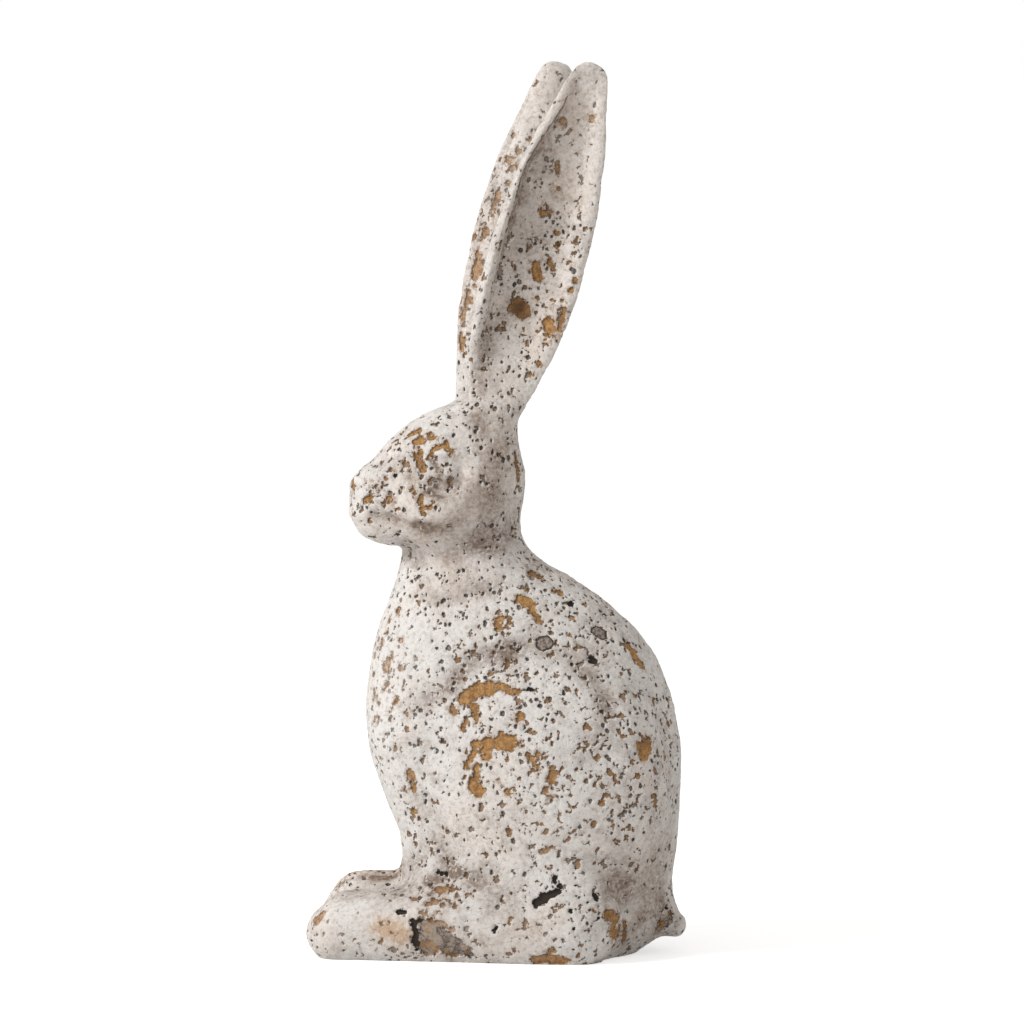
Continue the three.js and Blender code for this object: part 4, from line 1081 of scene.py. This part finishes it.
def closed_outer(bm, sink):
    """The outer skin closed at the seats, and drawn down below its base."""
    rim = [e for e in bm.edges if e.is_boundary and max(v.co.z for v in e.verts) < 1e-5]
    sides = bmesh.ops.extrude_edge_only(bm, edges=rim)["geom"]
    low = [v for v in sides if isinstance(v, bmesh.types.BMVert)]
    for vertex in low:
        vertex.co.z -= sink
    bmesh.ops.holes_fill(bm, edges=[e for e in bm.edges if e.is_boundary], sides=0)
    bmesh.ops.triangulate(bm, faces=[f for f in bm.faces if len(f.verts) > 4])
    bmesh.ops.recalc_face_normals(bm, faces=bm.faces)


def ear_section(along, sides):
    """Points round a section of the ear: its rounded back, then its hollowed face."""
    half, back, face = (float(between(EAR_SECTIONS, i, np.array([along]))[0]) for i in (1, 2, 3))
    t = min(max((-face + 2) / 5, 0), 1)
    hollowed = t * t * (3 - 2 * t)
    steps = sides // 2
    turn = np.pi * np.arange(steps + 1) / steps
    behind = np.column_stack([half * np.cos(turn), -back * np.sin(turn)])
    turn = np.pi * (1 - np.arange(1, steps) / steps)
    depth = between(hollow_shape(float(front_rim(along, half))), 1, np.cos(turn))
    v = face * ((1 - hollowed) * np.sin(turn) + hollowed * depth)
    return np.vstack([behind, np.column_stack([half * np.cos(turn), v])])


def add_ear(bm, place, mirrored_side, sides=72, rings=120, root=2.5):
    last = EAR_SECTIONS[-1, 0]
    share = np.linspace(0, 1, rings)
    alongs = last * (share + 0.35 * share * (1 - share) * (2 * share - 1))
    loops = []
    for along in [-root / EAR_LENGTH, *alongs]:
        section = ear_section(max(along, 0), sides)
        high = np.full(len(section), along * EAR_LENGTH)
        world = moved(place, np.column_stack([section, high])) * MM
        loops.append([bm.verts.new(p) for p in world])
    for low, high in zip(loops, loops[1:]):
        for i in range(len(low)):
            j = (i + 1) % len(low)
            quad = (low[i], low[j], high[j], high[i])
            bm.faces.new(quad[::-1] if not mirrored_side else quad)
    tip = bm.verts.new(moved(place, np.array([[0, 0, EAR_LENGTH]]))[0] * MM)
    end = loops[-1]
    for i in range(len(end)):
        bm.faces.new((end[i], end[(i + 1) % len(end)], tip))
    bm.faces.new(loops[0])


def ear_places(points):
    """Each point in the nearer ear's own frame; its height there is above the seat."""
    local = [moved(place.inverted(), points) for place in EAR_PLACES.values()]
    across = [np.linalg.norm(q[:, :2], axis=1) for q in local]
    return np.where((across[0] < across[1])[:, None], local[0], local[1])


def ear_wear(local):
    """On an ear: the painted shade of its hollow, strongest deep inside and just behind the front
    rim; how far each point is from the line behind the front rim in mm; and how near its rims."""
    share = local[:, 2] / EAR_LENGTH
    half, back, face = (between(EAR_SECTIONS, i, share) for i in (1, 2, 3))
    across = np.clip(local[:, 0] / half, -1, 1)
    behind = -back * np.sqrt(1 - across**2)
    on_face = local[:, 1] > (np.minimum(face, 0) * 0.8 + behind) / 2
    deep = np.clip((1.5 - local[:, 1]) / 8, 0, 1)
    front = 1 - front_rim(share, half)
    seam = (across - front) * half
    shade = np.exp(-((seam / 5) ** 2)) * (seam < 0.5) * np.clip((share - 0.35) / 0.15, 0, 1)
    # Painted shade: darker the deeper in the hollow, and darkest just behind the front rim
    hollow_shade = on_face * deep * (np.clip(0.1 + 0.9 * across, 0, 1) + 1.6 * shade)
    ends = np.clip((0.6 - share) / 0.12, 0, 1) + np.clip((share - 0.88) / 0.05, 0, 1)
    seam = np.where(on_face, np.abs(seam) + 2 * ends, FAR)
    rim = np.clip((np.abs(across) - front) / 0.1, 0, 1)
    return hollow_shade, seam, rim


def lines_reach(lines, points):
    """How deep inside the nearest of some thick lines each point is, in mm."""
    best = np.full(len(points), -float(FAR))
    for path, radius in lines:
        low, high = np.min(path, 0) - FAR - radius, np.max(path, 0) + FAR + radius
        near = np.flatnonzero(((points > low) & (points < high)).all(1))
        best[near] = np.maximum(best[near], radius - away_from(points[near], path))
    return best


def worn(lines, points, twins, base=0.0):
    """Soft lines of wear. Those with a place on the right side lie there alone, the others on
    both sides, by the twin that each point has on the left one."""
    right = [line for line in lines if line[0][0][0] < 0]
    both = [line for line in lines if line[0][0][0] >= 0]
    return pressed(both, twins, base) + pressed(right, points)


def drawn_on(field, points, rise, share, turns=3):
    """Points moved along a field's slope to where it has a wanted value."""
    step = 0.25
    for _ in range(turns):
        here = field(points)
        slope = np.stack([field(points + step * axis) - here for axis in np.eye(3)], 1) / step
        move = -slope * ((here - rise) / np.maximum((slope**2).sum(1), 0.2))[:, None]
        size = np.linalg.norm(move, axis=1, keepdims=True)
        points = points + move * np.minimum(1, 2.5 / np.maximum(size, 1e-9)) * share[:, None]
    return points


def set_attribute(mesh, name, values):
    kind = "FLOAT_VECTOR" if values.ndim == 2 else "FLOAT"
    attribute = mesh.attributes.new(name, kind, "POINT")
    key = "vector" if values.ndim == 2 else "value"
    attribute.data.foreach_set(key, values.astype(np.float32).ravel())


def scattered(points, normals, count, seed):
    """Chips for the sides that no photograph shows: short lines on the skin."""
    random = np.random.default_rng(seed)
    height = points[:, 2]
    unseen = (normals[:, 0] < -0.2) & (points[:, 0] < 12)
    hidden = np.flatnonzero(unseen & (height > 2) & (height < 440))
    lines = []
    for start in points[random.choice(hidden, count, replace=False)]:
        end = start + random.normal(0, 2.6, 3)
        lines.append(([tuple(start), tuple(end)], float(random.uniform(1.2, 3.6))))
    return lines


def build_figure(sizes):
    """The whole figure's worn skin, from base to ear tips, as one mesh."""
    outer, inner = casting_shells()
    inner.free()
    closed_outer(outer, BASE_SINK)
    for side, place in EAR_PLACES.items():
        add_ear(outer, place, side == "right")
    mesh = bpy.data.meshes.new("figure")
    outer.to_mesh(mesh)
    outer.free()
    made = linked("figure", mesh)
    remesh = made.modifiers.new("cells", "REMESH")
    remesh.mode = "VOXEL"
    remesh.voxel_size = sizes.cell * 1.0
    mesh = applied(made)

    points, _ = mesh_arrays(mesh, MM)
    edges = neighbours(mesh)
    local = ear_places(points)
    near_ear = (np.linalg.norm(local[:, :2], axis=1) < 40) & (points[:, 2] > HEAD_UP + 18)
    height = np.where(near_ear, local[:, 2], -100)
    on_body = 1 - np.clip((height + 9) / 7, 0, 1)
    field, rise = figure(), creased(points)
    points = drawn_on(field, points, rise, on_body, 2)
    seam = np.clip(1 - np.abs(height) / 14, 0, 1)
    points = smoothed(points, edges, 0.5 * np.maximum(seam, 0.25), 12)
    points = drawn_on(field, points, rise, on_body * 0.9, 1)
    set_points(mesh, points * MM)
    points, normals = mesh_arrays(mesh, MM)

    in_head = mirrored(moved(TO_HEAD, points))
    rise = (pressed(HEAD_LINES, in_head) + pressed(BODY_LINES, mirrored(points))) * on_body
    feet = pressed(FOOT_LINES, points) * on_body
    points = smoothed(points + normals * (rise + feet)[:, None], edges, 0.4, 1)
    set_points(mesh, points * MM)
    points, normals = mesh_arrays(mesh, MM)

    # Painted shade: how closed in each point is, from the figure's field read out along its normal,
    # and darker still in the pressed creases
    open_air = np.zeros(len(points))
    for reach in (3.0, 8.0, 18.0):
        out = points + normals * reach
        open_air += np.clip((field(out) - creased(out)) / reach, 0, 1) / 3
    recess_shade = np.where(on_body > 0.5, 1 - open_air, 0) + np.clip(-rise, 0, 1) * 0.5
    hollow_shade, seam, rim = ear_wear(local)
    on_ear = height > 8
    hidden = scattered(points, normals, HIDDEN_MARKS, HIDDEN_SEED)
    burnt = hidden[HIDDEN_OCHRE:HIDDEN_CHARCOAL]
    upper = np.clip((points[:, 2:] - 195) / 30, 0, 1)
    turned = moved(HEAD_FRAME, mirrored(moved(TO_HEAD, points)))
    twins = (1 - upper) * mirrored(points) + upper * turned
    marks = dict(
        rest=points,
        pitted=worn(PITTED, points, twins, 0.5) - 0.5 * rim * on_ear,
        chipped=worn(CHIPPED, points, twins, 0.42),
        faint=worn(FAINT, points, twins),
        # Dirt, with painted shade in recesses, creases and the ears' hollows
        dirty=worn(SOILED_AND_SHADED, points, twins) + 0.9 * recess_shade + 0.4 * hollow_shade * on_ear,
        yellowed=worn(YELLOWED, points, twins),
        seam=np.where(on_ear, seam, FAR),
    )
    placed = dict(
        ochre=OCHRE + tuple(hidden[:HIDDEN_OCHRE]),
        charcoal=CHARCOAL + tuple((path, 0.6 * radius) for path, radius in burnt),
        broken=BROKEN,
        pebble=PEBBLES + tuple(hidden[HIDDEN_PEBBLES:]),
    )
    for name, lines in placed.items():
        marks[name] = lines_reach(lines, points)
        # and read a little up and to the front, for the painted shadow and highlight at their edges
        marks[name + "_lee"] = lines_reach(lines, points + np.array(SHADE_OFFSET))
    for name, values in marks.items():
        set_attribute(mesh, name, values)
    return made


def with_relief(made, sizes, finish):
    modifier = made.modifiers.new("relief", "NODES")
    modifier.node_group = relief_tree()
    values = {
        "Depth": sizes.chip_depth,
        "Lumps": sizes.lump_height,
        "Grain": sizes.grain_height,
        "Finish": finish,
    }
    for item in modifier.node_group.interface.items_tree:
        if item.in_out == "INPUT" and item.name in values:
            modifier[item.identifier] = values[item.name]
    return applied(made)


def thinned(made, triangles):
    """Fewer triangles, kept inside the frame's box; sharp where two finishes meet."""
    made.data.calc_loop_triangles()
    thin = made.modifiers.new("thin", "DECIMATE")
    thin.ratio = min(1, triangles / len(made.data.loop_triangles))
    mesh = applied(made)
    points, _ = mesh_arrays(mesh)
    set_points(mesh, np.clip(points, *(np.array(corner) for corner in CAD_BOX)))
    bm = bmesh.new()
    bm.from_mesh(mesh)
    for edge in bm.edges:
        edge.smooth = len({face.material_index for face in edge.link_faces}) == 1
    bm.to_mesh(mesh)
    bm.free()


def cut_flat(bm, point, normal, keep_above=None):
    """Cuts a mesh along a plane, and drops what lies on one side where a side is given."""
    geom = bm.verts[:] + bm.edges[:] + bm.faces[:]
    bmesh.ops.bisect_plane(
        bm,
        geom=geom,
        dist=1e-7,
        plane_co=point,
        plane_no=normal,
        clear_inner=keep_above is True,
        clear_outer=keep_above is False,
    )


def on_plane(vertex, point, normal):
    return abs((vertex.co - point).dot(normal)) < 2e-6


def close_plane(bm, point, normal, slot):
    """Fills the open loops that lie in a plane, with the fill as a sharp-edged flat."""
    edges = [e for e in bm.edges if e.is_boundary]
    rim = [e for e in edges if all(on_plane(v, point, normal) for v in e.verts)]
    made = bmesh.ops.triangle_fill(bm, edges=rim, use_beauty=True, normal=normal)
    for item in made["geom"]:
        if isinstance(item, bmesh.types.BMFace):
            item.material_index = slot


def mesh_of(name, bm, materials):
    bmesh.ops.recalc_face_normals(bm, faces=bm.faces)
    for face in bm.faces:
        face.smooth = True
    mesh = bpy.data.meshes.new(name)
    bm.to_mesh(mesh)
    bm.free()
    for material in materials:
        mesh.materials.append(material)
    return linked(name, mesh)


def split_figure(mesh):
    """Body and ears as separate bmeshes, cut apart at the ears' seats."""
    parts = {}
    seats = ear_seats()
    middle = (HEAD_FRAME.translation * MM, HEAD_FRAME.col[0].to_3d())
    body = bmesh.new()
    body.from_mesh(mesh)
    for side, (point, normal) in seats.items():
        ear = body.copy()
        cut_flat(ear, point, normal, True)
        inward = middle[1] if side == "left" else -middle[1]
        for face in list(ear.faces):
            if (face.calc_center_median() - middle[0]).dot(inward) < 0:
                ear.faces.remove(face)
        for vertex in [v for v in ear.verts if not v.link_faces]:
            ear.verts.remove(vertex)
        top = max(ear.verts, key=lambda v: v.co.z)
        kept = island(top)
        bmesh.ops.delete(ear, geom=[v for v in ear.verts if v not in kept], context="VERTS")
        parts[side] = ear
    for point, normal in seats.values():
        cut_flat(body, point, normal)
    for side, (point, normal) in seats.items():
        inward = middle[1] if side == "left" else -middle[1]
        gone = [
            f
            for f in body.faces
            if (f.calc_center_median() - point).dot(normal) > 0
            and (f.calc_center_median() - middle[0]).dot(inward) >= 0
        ]
        bmesh.ops.delete(body, geom=gone, context="FACES")
    parts["body"] = body
    return parts, seats


def hollow_shell(top):
    """The casting's hollow, closed above where the mortar hides it."""
    outer, inner = casting_shells()
    outer.free()
    cut_flat(inner, Vector((0, 0, top)), Vector((0, 0, 1)), False)
    rim = [e for e in inner.edges if e.is_boundary and min(v.co.z for v in e.verts) > 1e-4]
    bmesh.ops.holes_fill(inner, edges=rim, sides=0)
    bmesh.ops.triangulate(inner, faces=[f for f in inner.faces if len(f.verts) > 4])
    return inner


# The stage, in metres
FLOOR_HALF = 30
KEY_PLACE = (0.98, -1.69, 1.42)
KEY_AIM = (0, 0, 0.2)
KEY_SIZE = 0.8
EYE_PLACE = (3.5, 0.0082, 0.5)
EYE_AIM = (0, 0.0082, 0.2265)
LENS = 240.8  # mm

# Sizes and colours that a user may change


def length_property(name, description, default):
    return bpy.props.FloatProperty(
        name=name, description=description, default=default, unit="LENGTH", precision=5
    )


def count_property(name, description, default):
    return bpy.props.IntProperty(name=name, description=description, default=default)


def colour_property(name, description, *levels):
    return bpy.props.FloatVectorProperty(
        name=name, description=description, subtype="COLOR", size=4, min=0, max=1,
        default=srgb(*levels),
    )


class RabbitSizes(bpy.types.PropertyGroup):
    cell: length_property("Cell", "Size of the mesh cells that the skin is made of", 0.00085)
    chip_depth: length_property("Chip depth", "Depth of a typical pit below the wash", 0.00085)
    lump_height: length_property("Lumps", "Height of the casting's soft unevenness", 0.0021)
    grain_height: length_property("Grain", "Height of the wash's fine unevenness", 0.0010)
    body_triangles: count_property("Body triangles", "Triangles of the body", 195000)
    ear_triangles: count_property("Ear triangles", "Triangles of each ear", 95000)


class RabbitFinish(bpy.types.PropertyGroup):
    wash: colour_property("Wash", "Chalky wash where it is cleanest", 227, 223, 219)
    warm: colour_property("Warm wash", "Wash where it has yellowed", 216, 198, 182)
    # Also the colour of the painted shade in hollows and creases
    dirt: colour_property("Dirt", "Grime in the hollows and creases", 131, 111, 97)
    ochre: colour_property("Ochre", "Bared ochre ground coat", 194, 148, 94)
    umber: colour_property("Umber", "Darker mottling of the ochre", 138, 102, 66)
    bare: colour_property("Bare cement", "Grey cement inside shallow flakes", 142, 126, 112)
    # Also used for the painted shadow on the upper front edges of chips
    charcoal: colour_property("Charcoal", "Dark grime at the bottom of pits", 58, 50, 45)
    # Also laid where the soiling and painted shade are heaviest
    soot: colour_property("Soot", "Paler grime of shallow pits", 116, 102, 91)
    # Also the painted shadow in the cleft behind the ears' front rims
    earth: colour_property("Earth", "Dark brown of soiled ochre and of sharp clefts", 84, 62, 45)
    stone: colour_property("Stone", "Dark side of bared gravel", 98, 88, 82)
    rubble: colour_property("Rubble", "Pale broken cement and gravel", 168, 154, 143)


class RabbitStage(bpy.types.PropertyGroup):
    key: bpy.props.FloatProperty(
        name="Key lamp", description="Power of the lamp", default=31.3, unit="POWER",
    )
    sky: bpy.props.FloatProperty(
        name="Room light", description="Strength of the even light of the room", default=0.57,
    )


FINISHES = ("worn cement wash", "raw cement", "packed mortar", "rod steel")


def shared_finish():
    """The finishes, made once for all pieces."""
    made = bpy.data.materials
    if FINISHES[0] not in made:
        chosen = bpy.context.scene.rabbit_finish
        colours = {name: tuple(getattr(chosen, name)) for name in chosen.__annotations__}
        grain = grain_group()
        worn_cement(colours, grain)
        plain_cement("raw cement", srgb(168, 158, 146), srgb(132, 122, 112), grain)
        plain_cement("packed mortar", srgb(150, 144, 135), srgb(118, 111, 103), grain)
        rod_steel()
    return {name: made[name] for name in FINISHES}


class RABBIT_OT_figure(bpy.types.Operator):
    """Shape the worn skin of the whole figure"""

    bl_idname = "rabbit.figure"
    bl_label = "Figure"

    def execute(self, context):
        sizes = context.scene.rabbit_sizes
        made = build_figure(sizes)
        mesh = with_relief(made, sizes, shared_finish()["worn cement wash"])
        mesh.name = "figure skin"
        mesh.use_fake_user = True
        bpy.data.objects.remove(made)
        return {"FINISHED"}


class RABBIT_OT_body(bpy.types.Operator):
    """Cut the body casting from the figure, and close it round its hollow"""

    bl_idname = "rabbit.body"
    bl_label = "Body casting"

    def execute(self, context):
        finish = shared_finish()
        parts, seats = split_figure(bpy.data.meshes["figure skin"])
        body = parts.pop("body")
        for ear in parts.values():
            ear.free()
        cut_flat(body, *GROUND, True)
        for point, normal in seats.values():
            close_plane(body, point, normal, 1)
        hollow = hollow_shell(HOLLOW_TOP)
        shell = bpy.data.meshes.new("hollow")
        for face in hollow.faces:
            face.material_index = 1
        hollow.to_mesh(shell)
        hollow.free()
        body.from_mesh(shell)
        bpy.data.meshes.remove(shell)
        close_plane(body, *GROUND, 1)
        made = mesh_of("rabbit_body", body, [finish[name] for name in FINISHES[:2]])
        thinned(made, context.scene.rabbit_sizes.body_triangles)
        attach(made, "root")
        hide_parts("body_casting")
        return {"FINISHED"}


class RABBIT_OT_ears(bpy.types.Operator):
    """Cut both ears from the figure, and close them at their seats"""

    bl_idname = "rabbit.ears"
    bl_label = "Ears"

    def execute(self, context):
        finish = shared_finish()
        parts, seats = split_figure(bpy.data.meshes["figure skin"])
        parts.pop("body").free()
        for side, ear in parts.items():
            close_plane(ear, *seats[side], 1)
            made = mesh_of(f"rabbit_{side}_ear", ear, [finish[name] for name in FINISHES[:2]])
            thinned(made, context.scene.rabbit_sizes.ear_triangles)
            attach(made, "root")
            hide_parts(f"{side}_ear")
        return {"FINISHED"}


class RABBIT_OT_fixings(bpy.types.Operator):
    """Finish the ears' steel rods and the mortar that locks them"""

    bl_idname = "rabbit.fixings"
    bl_label = "Rods and mortar"

    def execute(self, context):
        finish = shared_finish()
        for node, name, slot in (
            ("left_ear_rod", "rod steel", "steel"),
            ("right_ear_rod", "rod steel", "steel"),
            ("head_mortar", "packed mortar", "mortar"),
        ):
            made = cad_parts[node]
            made.data.materials.clear()
            made.data.materials.append(finish[name])
        return {"FINISHED"}


def background_rays(n):
    """A mask of the rays that show the white background instead of lighting the object."""
    seen = n.add("ShaderNodeLightPath").outputs
    direct = n.math("MAXIMUM", seen["Is Camera Ray"], seen["Is Glossy Ray"])
    return n.math("MAXIMUM", direct, seen["Is Transmission Ray"])


def lamp(name, place, target, power, size):
    data = bpy.data.lights.new(name, "AREA")
    data.energy = power
    data.shape = "DISK"
    data.size = size
    made = bpy.data.objects.new(name, data)
    made.location = place
    made.rotation_euler = (Vector(target) - Vector(place)).to_track_quat("-Z", "Y").to_euler()
    bpy.context.scene.collection.objects.link(made)


class RABBIT_OT_stage(bpy.types.Operator):
    """Set the floor, lamps, room light and camera"""

    bl_idname = "rabbit.stage"
    bl_label = "Stage"

    def execute(self, context):
        scene = context.scene
        chosen = scene.rabbit_stage
        bm = bmesh.new()
        bmesh.ops.create_grid(bm, x_segments=1, y_segments=1, size=FLOOR_HALF)
        mesh = bpy.data.meshes.new("floor")
        bm.to_mesh(mesh)
        bm.free()
        floor = linked("floor", mesh)
        material, n, shader = new_material("pale floor")
        shader.inputs["Base Color"].default_value = (0.8, 0.8, 0.8, 1)
        shader.inputs["Roughness"].default_value = 0.9
        shader.inputs["Emission Color"].default_value = (1, 1, 1, 1)
        direct = background_rays(n)
        n.put(shader.inputs["Emission Strength"], n.times(direct, 0.55))
        mesh.materials.append(material)

        world = bpy.data.worlds.new("room")
        world.use_nodes = True
        world.node_tree.nodes.clear()
        n = Tree(world.node_tree)
        direct = background_rays(n)
        strength = n.line(direct, 1 - chosen.sky, chosen.sky)
        tint = n.mix(direct, (1, 0.97, 0.935, 1), (1, 1, 1, 1))
        back = n.add("ShaderNodeBackground", {"Color": tint, "Strength": strength})
        n.add("ShaderNodeOutputWorld", {"Surface": back.outputs[0]})
        scene.world = world

        lamp("key lamp", KEY_PLACE, KEY_AIM, chosen.key, KEY_SIZE)

        data = bpy.data.cameras.new("camera")
        data.sensor_width = 36
        data.lens = LENS
        data.clip_end = 50
        camera = bpy.data.objects.new("camera", data)
        camera.location = EYE_PLACE
        aim = Vector(EYE_AIM) - camera.location
        camera.rotation_euler = aim.to_track_quat("-Z", "Y").to_euler()
        scene.collection.objects.link(camera)
        scene.camera = camera
        scene.view_settings.view_transform = "Standard"
        return {"FINISHED"}


class RABBIT_PT_panel(bpy.types.Panel):
    bl_label = "Cement rabbit"
    bl_idname = "RABBIT_PT_panel"
    bl_space_type = "VIEW_3D"
    bl_region_type = "UI"
    bl_category = "Rabbit"

    def draw(self, context):
        for group in ("rabbit_sizes", "rabbit_finish", "rabbit_stage"):
            chosen = getattr(context.scene, group)
            box = self.layout.box()
            for name in chosen.__annotations__:
                box.prop(chosen, name)
        for operator in OPERATORS:
            self.layout.operator(operator.bl_idname)


OPERATORS = (
    RABBIT_OT_stage,
    RABBIT_OT_figure,
    RABBIT_OT_body,
    RABBIT_OT_ears,
    RABBIT_OT_fixings,
)
GROUPS = {"rabbit_sizes": RabbitSizes, "rabbit_finish": RabbitFinish, "rabbit_stage": RabbitStage}


def register():
    for cls in (*GROUPS.values(), *OPERATORS, RABBIT_PT_panel):
        bpy.utils.register_class(cls)
    for name, group in GROUPS.items():
        setattr(bpy.types.Scene, name, bpy.props.PointerProperty(type=group))


def unregister():
    for name in GROUPS:
        delattr(bpy.types.Scene, name)
    for cls in (RABBIT_PT_panel, *reversed(OPERATORS), *GROUPS.values()):
        bpy.utils.unregister_class(cls)


def main():
    register()
    bpy.ops.rabbit.stage()
    bpy.ops.rabbit.figure()
    bpy.ops.rabbit.body()
    bpy.ops.rabbit.ears()
    bpy.ops.rabbit.fixings()


if __name__ == "__main__":
    main()
